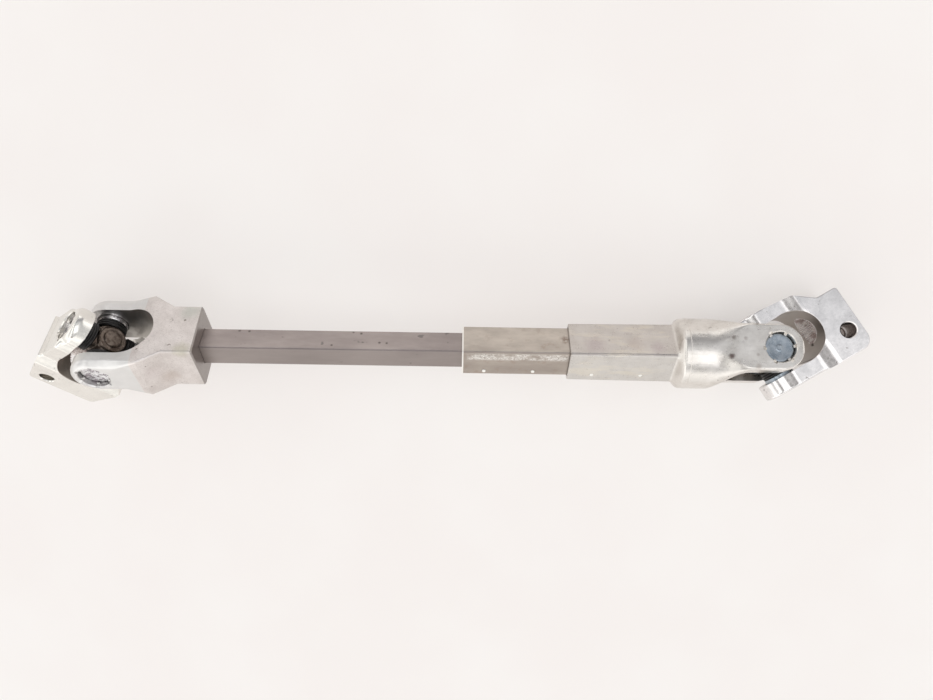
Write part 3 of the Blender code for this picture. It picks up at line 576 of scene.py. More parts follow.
BORE_OVERRUN = 6 * MM
TIP_OVERRUN = 3 * MM
SLOT_HALF = 60 * MM
WELD = 1e-6
SPECK_TINT = (0.12, 0.09, 0.07)
ROUND_STEPS = 72
ARC_STEPS = 40


def tip_sections(start, half_width, reach, corner, side):
    """Sections of the round tips of a pair of arms, from start to reach; side is where they point."""
    sections = []
    for k in range(TIP_STEPS + 1):
        angle = TIP_TURN * k / TIP_STEPS
        half = half_width * math.cos(angle)
        rounding = corner * math.sin(angle) ** TIP_POWER
        set_back = corner - math.sqrt(corner ** 2 - rounding ** 2)
        x = side * (start + (reach - start) * math.sin(angle))
        sections.append((x, ARM_OUTER - set_back, half, min(corner, half * TIP_CORNER_SHARE), 0))
    return sections


def fork_arms(start, corner):
    """Sections of a fork's arms, with half-round tips about the pivot."""
    return [(start, ARM_OUTER, ARM_HALF, corner, 0)] + tip_sections(0, ARM_HALF, ARM_HALF, corner, 1)


def facing(axis):
    """The turn that lays Z along an axis."""
    return Vector((0, 0, 1)).rotation_difference(Vector(axis)).to_matrix().to_4x4()


def turned(name, profile, axis=(0, 0, 1)):
    """A solid of revolution; profile is (radius, height) from axis to axis or a closed ring."""
    bm = bmesh.new()
    verts = [bmesh.ops.create_vert(bm, co=(radius, 0, height))["vert"][0] for radius, height in profile]
    pairs = list(zip(verts, verts[1:]))
    if profile[0][0] > 0:
        pairs.append((verts[-1], verts[0]))
    edges = [bmesh.ops.contextual_create(bm, geom=list(pair))["edges"][0] for pair in pairs]
    bmesh.ops.spin(bm, geom=verts + edges, axis=(0, 0, 1), cent=(0, 0, 0), angle=math.tau,
                   steps=ROUND_STEPS, use_merge=True)
    bmesh.ops.remove_doubles(bm, verts=bm.verts, dist=WELD)
    bmesh.ops.recalc_face_normals(bm, faces=bm.faces)
    return placed(name, bm, facing(axis))


def mirrored(half, end):
    """A profile from its end on the axis through half of it and on through the mirror image."""
    return [(0, end)] + half + [(radius, -height) for radius, height in reversed(half)] + [(0, -end)]


def bored(yoke, axis, stake_turn):
    """Both arms bored and chamfered for the cups, with staked tongues over the rims."""
    far = ARM_OUTER + BORE_OVERRUN
    wide = BORE_RADIUS + BORE_CHAMFER
    upper = [(wide, far), (wide, ARM_OUTER), (BORE_RADIUS, ARM_OUTER - BORE_CHAMFER),
             (BORE_RADIUS, ARM_INNER + BORE_CHAMFER), (wide, ARM_INNER)]
    combined(yoke, turned("bore", mirrored(upper, far), axis))
    dents = bmesh.new()
    tongues = bmesh.new()
    for end in (1, -1):
        for k in range(STAKES):
            spin = Matrix.Rotation(stake_turn + math.tau * k / STAKES, 4, "Z")
            outward, upward = DENT_PLACE
            tip = Matrix.Translation((BORE_RADIUS + outward, 0, end * (ARM_OUTER + upward)))
            lean = Matrix.Rotation(-end * DENT_LEAN, 4, "Y")
            bmesh.ops.create_cube(dents, size=1,
                                  matrix=spin @ tip @ lean @ Matrix.Diagonal((*DENT_SIZE, 1)))
            outward, upward = TONGUE_PLACE
            seat = Matrix.Translation((BORE_RADIUS - STAKE_REACH / 2 + outward, 0,
                                       end * (CUP_TOP + upward + STAKE_THICKNESS / 2)))
            size = (STAKE_REACH + TONGUE_ROOT, STAKE_WIDTH * TONGUE_SHARE, STAKE_THICKNESS)
            bmesh.ops.create_cube(tongues, size=1, matrix=spin @ seat @ Matrix.Diagonal((*size, 1)))
    bmesh.ops.bevel(tongues, geom=tongues.edges, offset=TONGUE_EDGE, segments=2, profile=0.5,
                    affect="EDGES", material=-1)
    combined(yoke, placed("dents", dents, facing(axis)))
    return combined(yoke, placed("tongues", tongues, facing(axis)), "UNION")


def u_outline(depth, sign):
    """Outline of the gap between two arms, with a half-round floor at the given depth."""
    centre = depth - ARM_INNER
    return [(sign * (centre + ARM_INNER * math.sin(math.pi * k / ARC_STEPS)),
             ARM_INNER * math.cos(math.pi * k / ARC_STEPS)) for k in range(ARC_STEPS + 1)]


def slotted(fork, depth):
    """The fork with the gap cut between its arms."""
    tip = ARM_HALF + TIP_OVERRUN
    border = [(tip, ARM_INNER)] + u_outline(depth, -1) + [(tip, -ARM_INNER)]
    slot = prism(border, -SLOT_HALF, SLOT_HALF)
    return combined(fork, placed("slot", slot))


def aluminium(name, light, dark, roughness, mottle, speckle, seed):
    """Satin aluminium, mottled by oxide, with dark specks and shallow dents."""
    finish = Finish(name, roughness, 1.0)
    clouds = finish.noise(mottle, 6, 0.66, seed=seed)
    fine = finish.noise(0.0011, 4, 0.7, seed=seed + 1)
    specks = finish.noise(0.0024, 2, 0.4, seed=seed + 2).between(0.70, 0.76)
    dents = finish.noise(0.007, 3, 0.5, seed=seed + 3)
    finish.base(dark, light, clouds.between(0.32, 0.66) * 0.8 + fine * 0.2)
    finish.paint(SPECK_TINT, specks * speckle)
    rough = clouds * 0.10 + fine * 0.14 + (roughness - 0.12)
    height = dents * 1.6 + fine * 0.16 - specks * 0.3
    return finish, rough, height


# Shaft yoke. A forged square block, rough and grey, whose sides flare into the left fork. The fork's
# arms are milled bright. It is pressed on the bar, and stained where cutting oil dried on it. A thin
# dark band of painted shade runs round the edge of its end face.
BLOCK_HALF = 15.75 * MM
BLOCK_CORNER = 1.2 * MM
BLOCK_END = 55.0 * MM
BLOCK_START = 39.0 * MM
BLOCK_EDGE = 0.6 * MM
BLOCK_CRISP_ANGLE = 20
FLARE_TOP = 27.0 * MM
FLARE_END = 14.0 * MM
FORK_CORNER = 4.0 * MM
SHAFT_SLOT_DEPTH = 31.0 * MM
SOCKET_SIDE = 14.5 * MM
MILLED_REACH = 22.8 * MM
MILLED_FADE = 0.8 * MM
END_FACE_SHADE_BAND = (0.7 * MM, 0.15 * MM)
BLOCK_LIGHT = (0.72, 0.675, 0.65)
BLOCK_DARK = (0.58, 0.535, 0.51)
GRIT_TINT = (0.40, 0.35, 0.33)
MILLED_DARK = (0.60, 0.59, 0.58)
MILLED_LIGHT = (0.74, 0.73, 0.715)
END_FACE_PAINTED_SHADE = (0.28, 0.255, 0.24)
BLOCK_STAINS = ((-172, -12, 10.5, 9, (0.42, 0.34, 0.34), 0.4), (-163, -17, 4.5, 8, (0.43, 0.35, 0.30), 0.4),
                (-152, 18, 5, 8, (0.42, 0.45, 0.40), 0.5), (-152, -2, 21, 7, (0.44, 0.42, 0.31), 0.5),
                (-180, 6, 15.6, 6, (0.47, 0.42, 0.38), 0.3))

block_finish, rough, height = aluminium("block_aluminium", BLOCK_LIGHT, BLOCK_DARK, 0.34, 0.011, 0.7, 4.0)
grit = block_finish.noise(0.0007, 3, 0.7, seed=5.5)
milled = block_finish.slab(shaft_x, left_centre, 0.0, MILLED_REACH, MILLED_FADE)
milled_tint = block_finish.mixed(MILLED_DARK, MILLED_LIGHT, block_finish.noise(0.008, 4, 0.6))
block_finish.paint(GRIT_TINT, grit.between(0.5, 0.7) * 0.5)
block_finish.paint(milled_tint, milled)
# Painted shade: a thin dark band on the edge of the end face.
end_face_shade = block_finish.slab(shaft_x, left_centre, BLOCK_END, *END_FACE_SHADE_BAND)
block_finish.paint(END_FACE_PAINTED_SHADE, end_face_shade * 0.8)
stained(block_finish, BLOCK_STAINS)
block_finish.wear(rough, height + grit * 0.35 * (1.0 - milled), 0.00016)

sections = [(-BLOCK_END, BLOCK_HALF - BLOCK_EDGE, BLOCK_HALF - BLOCK_EDGE, BLOCK_CORNER, 0),
            (-BLOCK_END + BLOCK_EDGE, BLOCK_HALF, BLOCK_HALF, BLOCK_CORNER, 0),
            (-BLOCK_START, BLOCK_HALF, BLOCK_HALF, BLOCK_CORNER, 0),
            (-FLARE_TOP, ARM_OUTER, BLOCK_HALF, BLOCK_CORNER, 0)]
shaft_yoke = placed("forked_block", loft(sections + fork_arms(-FLARE_END, FORK_CORNER)))
slotted(shaft_yoke, SHAFT_SLOT_DEPTH)
bored(shaft_yoke, (0, 1, 0), stake_turn=0.4)
hollowed(shaft_yoke, -BLOCK_END - OVERRUN, ARM_INNER - SHAFT_SLOT_DEPTH, SOCKET_SIDE, BAR_CORNER,
         math.pi - FORK_ROLL - SECTION_ROLL)
shaft_yoke.data.transform(left_frame)
dressed(shaft_yoke, block_finish.material, "shaft_yoke", BLOCK_CRISP_ANGLE)


# Tube yoke. A square aluminium tube that swells into a round neck, turned smooth with a fine line
# round it, and forged into the right fork. The tube carries yellowish scuffs and brown stains. On its
# square part both visible faces are painted darker as shade, the upper one more, with a dark line of
# painted shade along the ridge.
TUBE_HALF = 11.4 * MM
TUBE_WIDE = 11.7 * MM
TUBE_CORNER = 1.5 * MM
TUBE_START = 56.3 * MM
TUBE_END = 113.4 * MM
TUBE_CAVITY_END = 116.5 * MM
TUBE_BORE = 20.7 * MM
TUBE_BORE_CORNER = 2.1 * MM
NECK_START = 118.4 * MM
NECK_LINE = 120.4 * MM
NECK_END = 131.5 * MM
NECK_RADIUS = 19.5 * MM
NECK_STEP = 0.25 * MM
NECK_BLEND_STEPS = 14
TUBE_ARM_CORNER = 1.3 * MM
TUBE_RIDGE = -1.35 * MM
TUBE_ARM_START = 152.0 * MM
TUBE_SLOT_END = 142.0 * MM
RIGHT_JOINT_X = 167.0 * MM
RIGHT_FORK_ROLL = math.radians(79.0)
TUBE_PLUG_X = 69.6 * MM
NECK_CORNER_SHARE = 0.98
NECK_EASE = 0.12
NECK_CORNER_STEPS = 18
TUBE_FADE = 1.0 * MM
TUBE_SCUFFS = (84 * MM, 27 * MM, 3 * MM)
TUBE_LIGHT = (0.78, 0.75, 0.71)
TUBE_DARK = (0.62, 0.59, 0.55)
TUBE_LOWER_PAINTED_SHADE = (0.46, 0.44, 0.42)
TUBE_UPPER_PAINTED_SHADE = (0.40, 0.36, 0.335)
TUBE_RIDGE_PAINTED_SHADE = (0.16, 0.13, 0.12)
SCUFF_TINT = (0.76, 0.69, 0.56)
TUBE_STAINS = ((70, 4, 12, 8, (0.42, 0.35, 0.36), 0.45), (92, 6, 12, 7, (0.46, 0.39, 0.35), 0.40),
               (104, 3, 13, 6, (0.44, 0.37, 0.38), 0.4), (141, -1, 21.5, 2.3, (0.14, 0.10, 0.09), 0.9),
               (142.4, 9, 20, 1.8, (0.20, 0.16, 0.14), 0.65),
               (148.3, 8.5, 21.4, 1.5, (0.26, 0.21, 0.19), 0.5),
               (154.2, 0, 23.3, 1.4, (0.28, 0.23, 0.20), 0.45),
               (154.2, -6.4, 24.3, 2.4, (0.36, 0.30, 0.25), 0.5))

tube_finish, rough, height = aluminium("tube_aluminium", TUBE_LIGHT, TUBE_DARK, 0.30, 0.009, 0.5, 9.0)
square_part = tube_finish.slab(shaft_x, shaft_centre, TUBE_START, TUBE_END - TUBE_START, TUBE_FADE)
# Painted shade on the square part: both visible faces darker, the upper more, and a dark line along the
# ridge.
lower = below(tube_finish, TUBE_RIDGE)
tube_finish.paint(TUBE_LOWER_PAINTED_SHADE, square_part * lower * 0.5)
tube_finish.paint(TUBE_UPPER_PAINTED_SHADE, square_part * (1.0 - lower) * 0.55)
tube_finish.paint(TUBE_RIDGE_PAINTED_SHADE, square_part * ridged(tube_finish, TUBE_RIDGE) * 0.6)
lines = tube_finish.noise(0.0010, 3, 0.6, (70, 1, 1), seed=5.0)
scuffs = (tube_finish.slab(shaft_x, shaft_centre, *TUBE_SCUFFS)
          * tube_finish.noise(0.006, 5, 0.7, (4, 1, 1), seed=6.0).between(0.50, 0.66))
tube_finish.paint(SCUFF_TINT, scuffs * 0.32)
stained(tube_finish, TUBE_STAINS)
tube_finish.wear(rough + (lines - 0.5) * 0.14, height + lines * 0.3, 0.00014)

inside = NECK_RADIUS - NECK_STEP
sections = [(TUBE_START, TUBE_HALF - MOUTH_EDGE, TUBE_HALF - MOUTH_EDGE, TUBE_CORNER, SECTION_ROLL),
            (TUBE_START + MOUTH_EDGE, TUBE_HALF, TUBE_HALF, TUBE_CORNER, SECTION_ROLL),
            (TUBE_END, TUBE_WIDE, TUBE_WIDE, TUBE_CORNER, SECTION_ROLL)]
for k in range(1, NECK_BLEND_STEPS + 1):
    share = k / NECK_BLEND_STEPS
    grow = share - NECK_EASE * math.sin(math.tau * share)
    half = TUBE_WIDE + (inside - TUBE_WIDE) * grow
    corner = TUBE_CORNER + (inside * NECK_CORNER_SHARE - TUBE_CORNER) * grow
    sections.append((TUBE_END + (NECK_START - TUBE_END) * share, half, half, corner, SECTION_ROLL))
sections.append((NECK_LINE + OVERRUN, inside, inside, inside * NECK_CORNER_SHARE, SECTION_ROLL))
tube_yoke = placed("tube_with_fork", loft(sections, NECK_CORNER_STEPS))
neck_corner = NECK_RADIUS * NECK_CORNER_SHARE
neck_end = NECK_END - RIGHT_JOINT_X
neck = [(NECK_LINE - RIGHT_JOINT_X, inside, inside, inside * NECK_CORNER_SHARE, 0),
        (NECK_LINE + NECK_STEP - RIGHT_JOINT_X, NECK_RADIUS, NECK_RADIUS, neck_corner, 0),
        (neck_end, NECK_RADIUS, NECK_RADIUS, neck_corner, 0)]
fork_start = TUBE_ARM_START - RIGHT_JOINT_X
for k in range(1, NECK_BLEND_STEPS):
    share = (1 - math.cos(math.pi * k / NECK_BLEND_STEPS)) / 2
    neck.append((neck_end + (fork_start - neck_end) * k / NECK_BLEND_STEPS,
                 NECK_RADIUS + (ARM_OUTER - NECK_RADIUS) * share,
                 NECK_RADIUS + (ARM_HALF - NECK_RADIUS) * share,
                 neck_corner + (TUBE_ARM_CORNER - neck_corner) * share, 0))
fork = placed("fork", loft(neck + fork_arms(fork_start, TUBE_ARM_CORNER), NECK_CORNER_STEPS))
slotted(fork, RIGHT_JOINT_X - TUBE_SLOT_END)
bored(fork, (0, 1, 0), stake_turn=1.15)
fork.data.transform(Matrix.Translation((RIGHT_JOINT_X, 0, 0)) @ Matrix.Rotation(RIGHT_FORK_ROLL, 4, "X"))
combined(tube_yoke, fork, "UNION")
hollowed(tube_yoke, TUBE_START - OVERRUN, TUBE_CAVITY_END, TUBE_BORE, TUBE_BORE_CORNER, SECTION_ROLL)
tube_yoke.data.transform(shaft_frame)
for pin in plug_pins(TUBE_PLUG_X, PLUG_DIAMETER / 2 + PLUG_GAP, SLEEVE_SIDE / 2, 2 * TUBE_HALF):
    combined(tube_yoke, pin)
dressed(tube_yoke, tube_finish.material, "tube_yoke")


# Clamp yokes. Forged aluminium, with two arms that step up to a thicker body. Each is bored and
# serrated for a shaft end, slit on one side and drilled for a bolt. The floor of the gap between the
# arms is drafted on its far side. The walls of the gap, and on the right clamp the bolt hole, are
# painted dark as shade; the serrated bore is painted near white and matt as painted light.
CLAMP_LENGTH = 47.6 * MM
CLAMP_HALF = 15.0 * MM
CLAMP_DEPTH = 29.8 * MM
CLAMP_TIP_HALF = 10.9 * MM
CLAMP_TIP_START = 3.0 * MM
CLAMP_TIP_STEP = 8.0 * MM
CLAMP_STEP_START = 18.2 * MM
CLAMP_STEP_LENGTH = 10.2 * MM
CLAMP_REACH = 27.0 * MM
CLAMP_ARM_CORNER = 1.2 * MM
CLAMP_TIP_CORNERS = {"left": 4.0 * MM, "right": 1.6 * MM}
CLAMP_EDGE = 0.5 * MM
FAR_FLOOR_SHARE = 0.66
STEP_POINTS = 20
FILLET_STEPS = 8
CLAMPS = {"left": (14.6, [(0, -27.0, 0), (22.0, -25.6, 3.0), (47.6, -19.6, 3.0), (47.6, 17.8, 3.0),
                          (22.0, 24.2, 3.0), (0, 24.2, 0)]),
          "right": (12.7, [(0, -23.0, 0), (25.5, -20.6, 3.0), (36.0, -12.6, 3.0), (47.6, -12.6, 1.7),
                           (47.6, 23.3, 6.0), (0, 23.3, 0)])}
CLAMP_SEEDS = {"left": 14.0, "right": 23.0}
CLAMP_ROUGHNESS = {"left": 0.24, "right": 0.19}
CLAMP_MOTTLE = {"left": 0.08, "right": 0.2}
HOLE_SHADE_SHARE = {"left": 0.0, "right": 0.85}
CLAMP_LIGHT = {"left": (0.82, 0.80, 0.755), "right": (0.84, 0.815, 0.80)}
CLAMP_DARK = {"left": (0.75, 0.73, 0.685), "right": (0.67, 0.65, 0.64)}
MOTTLE_TINT = (0.54, 0.525, 0.515)
INNER_WALL_PAINTED_SHADE = (0.27, 0.225, 0.19)
INNER_WALL_SHADE_FADE = (ARM_INNER + 0.35 * MM, ARM_INNER + 0.1 * MM)
BORE_PAINTED_LIGHT = (0.95, 0.90, 0.87)
BORE_SMUDGE = (0.46, 0.34, 0.31)
HOLE_PAINTED_SHADE = (0.13, 0.095, 0.08)
TEETH = 36
SPLINE_MAJOR = 8.1 * MM
SPLINE_MINOR = 7.4 * MM
SPLINE_LEAD = 0.9 * MM
SLIT_WIDTH = 2.6 * MM
SLIT_LENGTH = 23.0 * MM
BOLT_PLACE = (40.3 * MM, 10.6 * MM)
BOLT_RADIUS = 4.1 * MM
THREAD_RADIUS = 3.45 * MM
COUNTERSINK = 0.6 * MM
BORE_FADE = (SPLINE_MAJOR + 0.3 * MM, SPLINE_MAJOR)
HOLE_FADE = (BOLT_RADIUS + 0.2 * MM, BOLT_RADIUS)
TOOTH = ((0.0, SPLINE_MINOR), (0.2, SPLINE_MINOR), (0.5, SPLINE_MAJOR), (0.7, SPLINE_MAJOR))
TO_SIDE = Matrix(((1, 0, 0, 0), (0, 0, 1, 0), (0, 1, 0, 0), (0, 0, 0, 1)))


def filleted(outline):
    """Points of an outline given as (u, v, fillet radius) corners in millimetres."""
    points = []
    for i, (u, v, radius) in enumerate(outline):
        corner = Vector((u, v))
        if not radius:
            points.append(corner * MM)
            continue
        before = (Vector(outline[i - 1][:2]) - corner).normalized()
        after = (Vector(outline[(i + 1) % len(outline)][:2]) - corner).normalized()
        spread = before.angle(after) / 2
        centre = corner + (before + after).normalized() * radius / math.sin(spread)
        start = corner + before * radius / math.tan(spread) - centre
        end = corner + after * radius / math.tan(spread) - centre
        turn = start.angle_signed(end)
        points += [(centre + Matrix.Rotation(-turn * k / FILLET_STEPS, 2) @ start) * MM
                   for k in range(FILLET_STEPS + 1)]
    return points


def stepped(start, end):
    """Sections that ease from one rounded rectangle to another."""
    sections = []
    for k in range(STEP_POINTS + 1):
        way = k / STEP_POINTS
        share = (1 - math.cos(math.pi * way)) / 2
        shape = [low + (high - low) * share for low, high in zip(start[1:], end[1:])]
        sections.append((start[0] + (end[0] - start[0]) * way, *shape))
    return sections


for side, (tip_reach, outline) in CLAMPS.items():
    clamp_finish, rough, height = aluminium(f"{side}_clamp_aluminium", CLAMP_LIGHT[side], CLAMP_DARK[side],
                                            CLAMP_ROUGHNESS[side], 0.008, 0.5, CLAMP_SEEDS[side])
    clamp_frame = clamp_frames[side]
    clamp_x = clamp_frame.col[0].xyz
    clamp_y = clamp_frame.col[1].xyz
    floor_centre = CLAMP_DEPTH - ARM_INNER
    gap_centre = clamp_frame @ Vector((floor_centre, 0, 0))
    bolt_centre = clamp_frame @ Vector((BOLT_PLACE[0], 0, BOLT_PLACE[1]))
    mottle = clamp_finish.noise(0.0016, 4, 0.75, seed=3.7).between(0.42, 0.68)
    clamp_finish.paint(MOTTLE_TINT, mottle * CLAMP_MOTTLE[side])
    # Painted shade: the walls inside the gap are painted dark brown.
    inner_wall_shade = clamp_finish.around(clamp_y, gap_centre).between(*INNER_WALL_SHADE_FADE)
    clamp_finish.paint(INNER_WALL_PAINTED_SHADE, inner_wall_shade * 0.82)
    # Painted light: the serrated bore is painted near white and not metallic, with brown smudges over it.
    in_bore = clamp_finish.around(clamp_x, clamp_frame.translation).between(*BORE_FADE)
    smudge = clamp_finish.noise(0.005, 3, 0.6, seed=6.6).between(0.45, 0.6)
    clamp_finish.paint(clamp_finish.mixed(BORE_PAINTED_LIGHT, BORE_SMUDGE, smudge * 0.8), in_bore)
    # Painted shade: the inside of the bolt hole is painted dark, on the right clamp only.
    in_hole = clamp_finish.around(clamp_y, bolt_centre).between(*HOLE_FADE)
    clamp_finish.paint(HOLE_PAINTED_SHADE, in_hole * HOLE_SHADE_SHARE[side])
    clamp_finish.wear(rough + inner_wall_shade * 0.2, height, 0.00003, 1.0 - in_bore)

    tip_corner = CLAMP_TIP_CORNERS[side]
    tip_shape = (-CLAMP_TIP_START, ARM_OUTER, CLAMP_TIP_HALF, tip_corner, 0)
    arm_shape = (ARM_OUTER, ARM_HALF, CLAMP_ARM_CORNER, 0)
    tips = tip_sections(CLAMP_TIP_START, CLAMP_TIP_HALF, tip_reach * MM, tip_corner, -1)
    sections = list(reversed(tips[1:])) + stepped(tip_shape, (CLAMP_TIP_STEP - CLAMP_TIP_START, *arm_shape))
    sections += stepped((CLAMP_STEP_START, *arm_shape),
                        (CLAMP_STEP_START + CLAMP_STEP_LENGTH, CLAMP_REACH, CLAMP_HALF, CLAMP_EDGE, 0))
    sections.append((CLAMP_LENGTH + OVERRUN, CLAMP_REACH, CLAMP_HALF, CLAMP_EDGE, 0))
    clamp = placed(f"{side}_clamp", loft([(*shape, math.pi / 2) for *shape, roll in sections]))
    far = CLAMP_REACH / MM + 1
    tip = -tip_reach - 1
    border = filleted([(tip, -far, 0)] + outline + [(tip, far, 0)])
    border += [(tip * MM, ARM_INNER)] + u_outline(CLAMP_DEPTH, 1) + [(tip * MM, -ARM_INNER)]
    side_view = prism(border, -CLAMP_HALF, CLAMP_HALF, CLAMP_EDGE)
    for vert in side_view.verts:
        from_centre = (vert.co.xy - Vector((floor_centre, 0))).length
        if vert.co.z < 0 and vert.co.x > floor_centre and from_centre < ARM_INNER + 2 * CLAMP_EDGE:
            vert.co.x = floor_centre + (vert.co.x - floor_centre) * FAR_FLOOR_SHARE
    combined(clamp, placed("outline", side_view, TO_SIDE), "INTERSECT")
    bored(clamp, (0, 0, 1), stake_turn=0.3)
    teeth = []
    for k in range(TEETH):
        for share, radius in TOOTH:
            angle = math.tau * (k + share) / TEETH
            teeth.append((radius * math.cos(angle), radius * math.sin(angle)))
    bore = prism(teeth, floor_centre, CLAMP_LENGTH + OVERRUN)
    combined(clamp, placed("bore", bore, facing((1, 0, 0))))
    wide = SPLINE_MAJOR + SPLINE_LEAD
    lead = [(0, CLAMP_LENGTH + OVERRUN), (wide + OVERRUN, CLAMP_LENGTH + OVERRUN), (0, CLAMP_LENGTH - wide)]
    combined(clamp, turned("lead", lead, (1, 0, 0)))
    slit = bmesh.new()
    slit_middle = Matrix.Translation((CLAMP_LENGTH - SLIT_LENGTH / 2 + OVERRUN, 0,
                                      CLAMP_REACH / 2 + OVERRUN))
    bmesh.ops.create_cube(slit, size=1, matrix=slit_middle @ Matrix.Diagonal(
        (SLIT_LENGTH + 2 * OVERRUN, SLIT_WIDTH, CLAMP_REACH + 2 * OVERRUN, 1)))
    combined(clamp, placed("slit", slit))
    flare = BOLT_RADIUS + COUNTERSINK
    drill = turned("drill", [(0, CLAMP_HALF + OVERRUN), (flare + OVERRUN, CLAMP_HALF + OVERRUN),
                             (BOLT_RADIUS, CLAMP_HALF - COUNTERSINK), (BOLT_RADIUS, 0), (THREAD_RADIUS, 0),
                             (THREAD_RADIUS, -CLAMP_HALF - OVERRUN), (0, -CLAMP_HALF - OVERRUN)], (0, 1, 0))
    drill.data.transform(Matrix.Translation((BOLT_PLACE[0], 0, BOLT_PLACE[1])))
    combined(clamp, drill)
    clamp.data.transform(clamp_frame)
    dressed(clamp, clamp_finish.material, f"{side}_clamp_yoke")


# Crosses. Forged steel under brown oil, with a ringed boss on each face of the hub. The four
# trunnions are ground; the needles run on them.
CROSS_TIP = 18.0 * MM
TRUNNION_RADIUS = 4.8 * MM
SHOULDER_RADIUS = 6.7 * MM
SHOULDER_END = 8.1 * MM
HUB_RADIUS = 8.0 * MM
HUB_HALF = 8.5 * MM
BOSS_RADIUS = 5.0 * MM
GROOVE_WIDTH = 2.2 * MM
GROOVE_DEPTH = 1.4 * MM
CROSS_EDGE = 0.6 * MM
FORGED_GRAIN = 0.28 * MM
FORGED_SOFTENING = 3
CROSS_CRISP_ANGLE = 60
CROSS_DARK = (0.10, 0.075, 0.06)
CROSS_LIGHT = (0.27, 0.225, 0.19)

forged_steel = Finish("forged_steel", 0.38, 1.0)
scale = forged_steel.noise(0.0035, 5, 0.65)
pits = forged_steel.noise(0.0009, 3, 0.6, seed=1.0)
forged_steel.base(CROSS_DARK, CROSS_LIGHT, scale.between(0.35, 0.68))
forged_steel.wear(scale * 0.25 + 0.24, scale * 1.2 + pits * 0.35, 0.00022)
for side, matrix in cross_frames.items():
    half = [(TRUNNION_RADIUS - CROSS_EDGE, CROSS_TIP), (TRUNNION_RADIUS, CROSS_TIP - CROSS_EDGE),
            (TRUNNION_RADIUS, SHOULDER_END), (SHOULDER_RADIUS, SHOULDER_END)]
    profile = mirrored(half, CROSS_TIP)
    cross = turned(f"{side}_forged_cross", profile, (0, 1, 0))
    combined(cross, turned("second arm", profile), "UNION")
    groove = BOSS_RADIUS + GROOVE_WIDTH
    floor = HUB_HALF - GROOVE_DEPTH
    face = [(BOSS_RADIUS - CROSS_EDGE, HUB_HALF), (BOSS_RADIUS, HUB_HALF - CROSS_EDGE),
            (BOSS_RADIUS, floor), (groove, floor), (groove, HUB_HALF - CROSS_EDGE),
            (HUB_RADIUS - CROSS_EDGE, HUB_HALF - CROSS_EDGE), (HUB_RADIUS, HUB_HALF - 3 * CROSS_EDGE)]
    combined(cross, turned("hub", mirrored(face, HUB_HALF), (1, 0, 0)), "UNION")
    grain = cross.modifiers.new("grain", "REMESH")
    grain.mode = "VOXEL"
    grain.voxel_size = FORGED_GRAIN
    soften = cross.modifiers.new("soften", "SMOOTH")
    soften.iterations = FORGED_SOFTENING
    cross.data.transform(matrix)
    dressed(cross, forged_steel.material, f"{side}_cross", CROSS_CRISP_ANGLE)


# Bearing cups. Drawn steel cups, blue grey, seated below the faces of the arms; the left ones get a
# lighter, greyer copy of the steel as a painted reflection of the bright tent. Each has a small ring
# pressed in its bottom and sixteen needles inside, and a ribbed black boot covers its mouth.
CUP_RADIUS = 8.0 * MM
CUP_MOUTH = 12.4 * MM
CUP_WALL = 1.2 * MM
CUP_FLOOR = 1.6 * MM
CUP_EDGE = 0.9 * MM
EDGE_STEPS = 6
NEEDLES = 16
NEEDLE_RADIUS = 0.8 * MM
NEEDLE_CIRCLE = 5.95 * MM
NEEDLE_LENGTH = 5.5 * MM
SEAL_OUTER = 8.1 * MM
SEAL_INNER = 5.1 * MM
SEAL_LOW = 8.35 * MM
SEAL_WIDTH = 4.0 * MM
SEAL_RIBS = 3
SEAL_SHOULDER = 0.3 * MM
SEAL_FOOT = 0.9 * MM
RIB_SHAPE = ((0, 0.25), (0, 0.55), (0.55 * MM, 0.8))
CUP_RING = ((0, -0.30), (1.0, -0.30), (1.3, -0.05), (1.9, -0.05), (2.2, -0.22), (5.6, -0.12), (6.1, 0))
CUP_DARK = (0.27, 0.315, 0.36)
CUP_LIGHT = (0.42, 0.46, 0.50)
PAINTED_REFLECTION_CUP_DARK = (0.56, 0.55, 0.56)
PAINTED_REFLECTION_CUP_LIGHT = (0.74, 0.73, 0.73)
CUP_MARKS = (0.17, 0.13, 0.155)
NEEDLE_DARK = (0.50, 0.50, 0.50)
NEEDLE_LIGHT = (0.62, 0.61, 0.60)
NEEDLE_GAP = 0.4 * MM
NEEDLE_STEPS = 12
RUBBER_DARK = (0.012, 0.011, 0.011)
RUBBER_BLOOM = (0.035, 0.032, 0.03)

cup_steel = Finish("cup_steel", 0.28, 1.0)
skin = cup_steel.noise(0.004, 4, 0.6)
fine = cup_steel.noise(0.0008, 3, 0.6, seed=2.0)
cup_steel.base(CUP_DARK, CUP_LIGHT, skin.between(0.3, 0.7))
cup_steel.wear(skin * 0.14 + fine * 0.10 + 0.16, skin * 0.8 + fine * 0.3, 0.00008)
# Painted reflection: a lighter, greyer copy of the cup steel for the left cups, with real staking marks.
painted_reflection_steel = Finish("cup_steel_painted_reflection", 0.26, 1.0)
skin = painted_reflection_steel.noise(0.004, 4, 0.6, seed=4.4)
marks = painted_reflection_steel.noise(0.0028, 4, 0.7, seed=9.1).between(0.50, 0.58)
painted_reflection_steel.base(PAINTED_REFLECTION_CUP_DARK, PAINTED_REFLECTION_CUP_LIGHT, skin.between(0.3, 0.7))
painted_reflection_steel.paint(CUP_MARKS, marks * 0.75)
painted_reflection_steel.wear(skin * 0.2 + 0.14, skin * 0.8 + marks * 0.5, 0.00010)
needle_steel = Finish("needle_steel", 0.2, 1.0)
needle_steel.base(NEEDLE_DARK, NEEDLE_LIGHT, needle_steel.noise(0.004))
needle_steel.wear()
seal_rubber = Finish("seal_rubber", 0.5, 0.0)
bloom = seal_rubber.noise(0.003, 4, 0.6)
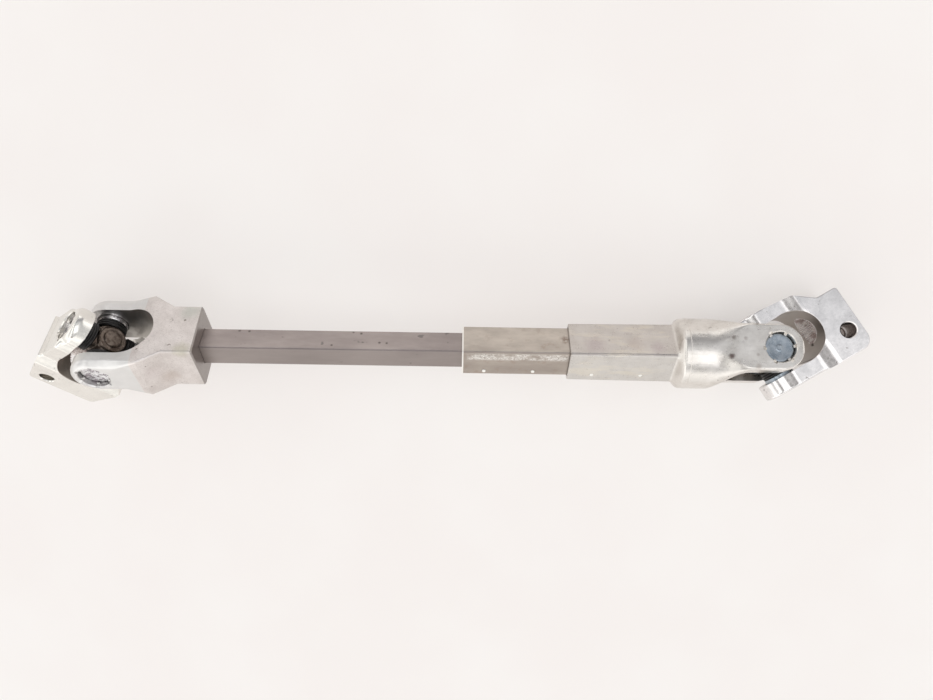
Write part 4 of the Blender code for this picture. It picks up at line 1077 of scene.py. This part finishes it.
seal_rubber.base(RUBBER_DARK, RUBBER_BLOOM, bloom.between(0.4, 0.7))
seal_rubber.wear(bloom * 0.2 + 0.34, bloom, 0.00006)


def cup(name, axis):
    """A cup with a rounded rim and a ring in its bottom."""
    inner = CUP_RADIUS - CUP_WALL
    profile = [(radius * MM, CUP_TOP + height * MM) for radius, height in CUP_RING]
    for k in range(EDGE_STEPS + 1):
        angle = math.pi / 2 * k / EDGE_STEPS
        profile.append((CUP_RADIUS - CUP_EDGE * (1 - math.sin(angle)),
                        CUP_TOP - CUP_EDGE * (1 - math.cos(angle))))
    profile += [(CUP_RADIUS, CUP_MOUTH + CUP_EDGE / 2), (CUP_RADIUS - CUP_EDGE / 2, CUP_MOUTH),
                (inner, CUP_MOUTH), (inner, CUP_TOP - CUP_FLOOR), (0, CUP_TOP - CUP_FLOOR)]
    return turned(name, profile, axis)


def seal(name, axis):
    """A ribbed lip seal."""
    high = SEAL_LOW + SEAL_WIDTH
    profile = [(SEAL_INNER, SEAL_LOW + SEAL_WIDTH / 3), (SEAL_INNER, high),
               (SEAL_OUTER - SEAL_SHOULDER, high)]
    pitch = SEAL_WIDTH / SEAL_RIBS
    for k in range(SEAL_RIBS):
        top = high - k * pitch
        profile += [(SEAL_OUTER - depth, top - share * pitch) for depth, share in RIB_SHAPE]
    profile.append((SEAL_OUTER - SEAL_FOOT, SEAL_LOW))
    return turned(name, profile, axis)


seats = {"fork_near": ("fork", (0, 1, 0)), "fork_far": ("fork", (0, -1, 0)),
         "clamp_near": ("clamp", (0, 0, 1)), "clamp_far": ("clamp", (0, 0, -1))}
carriers = {("left", "fork"): left_frame, ("right", "fork"): right_frame,
            ("left", "clamp"): clamp_frames["left"], ("right", "clamp"): clamp_frames["right"]}
cup_steels = {"left": painted_reflection_steel, "right": cup_steel}
for side, shell_steel in cup_steels.items():
    for seat, (carrier, axis) in seats.items():
        node = f"{side}_{seat}"
        shell = cup(f"{node}_drawn_cup", axis)
        rubber = seal(f"{node}_lip_seal", axis)
        rollers = bmesh.new()
        middle = CUP_TOP - CUP_FLOOR - NEEDLE_LENGTH / 2 - NEEDLE_GAP
        for k in range(NEEDLES):
            spin = Matrix.Rotation(math.tau * k / NEEDLES, 4, "Z")
            bmesh.ops.create_cone(rollers, cap_ends=True, segments=NEEDLE_STEPS, radius1=NEEDLE_RADIUS,
                                  radius2=NEEDLE_RADIUS, depth=NEEDLE_LENGTH,
                                  matrix=spin @ Matrix.Translation((NEEDLE_CIRCLE, 0, middle)))
        needles = placed(f"{node}_needles", rollers, facing(axis))
        for piece in (shell, rubber, needles):
            piece.data.transform(carriers[side, carrier])
        dressed(shell, shell_steel.material, f"{node}_cup")
        dressed(rubber, seal_rubber.material, f"{node}_seal")
        dressed(needles, needle_steel.material, f"{node}_cup", stands_for=False)
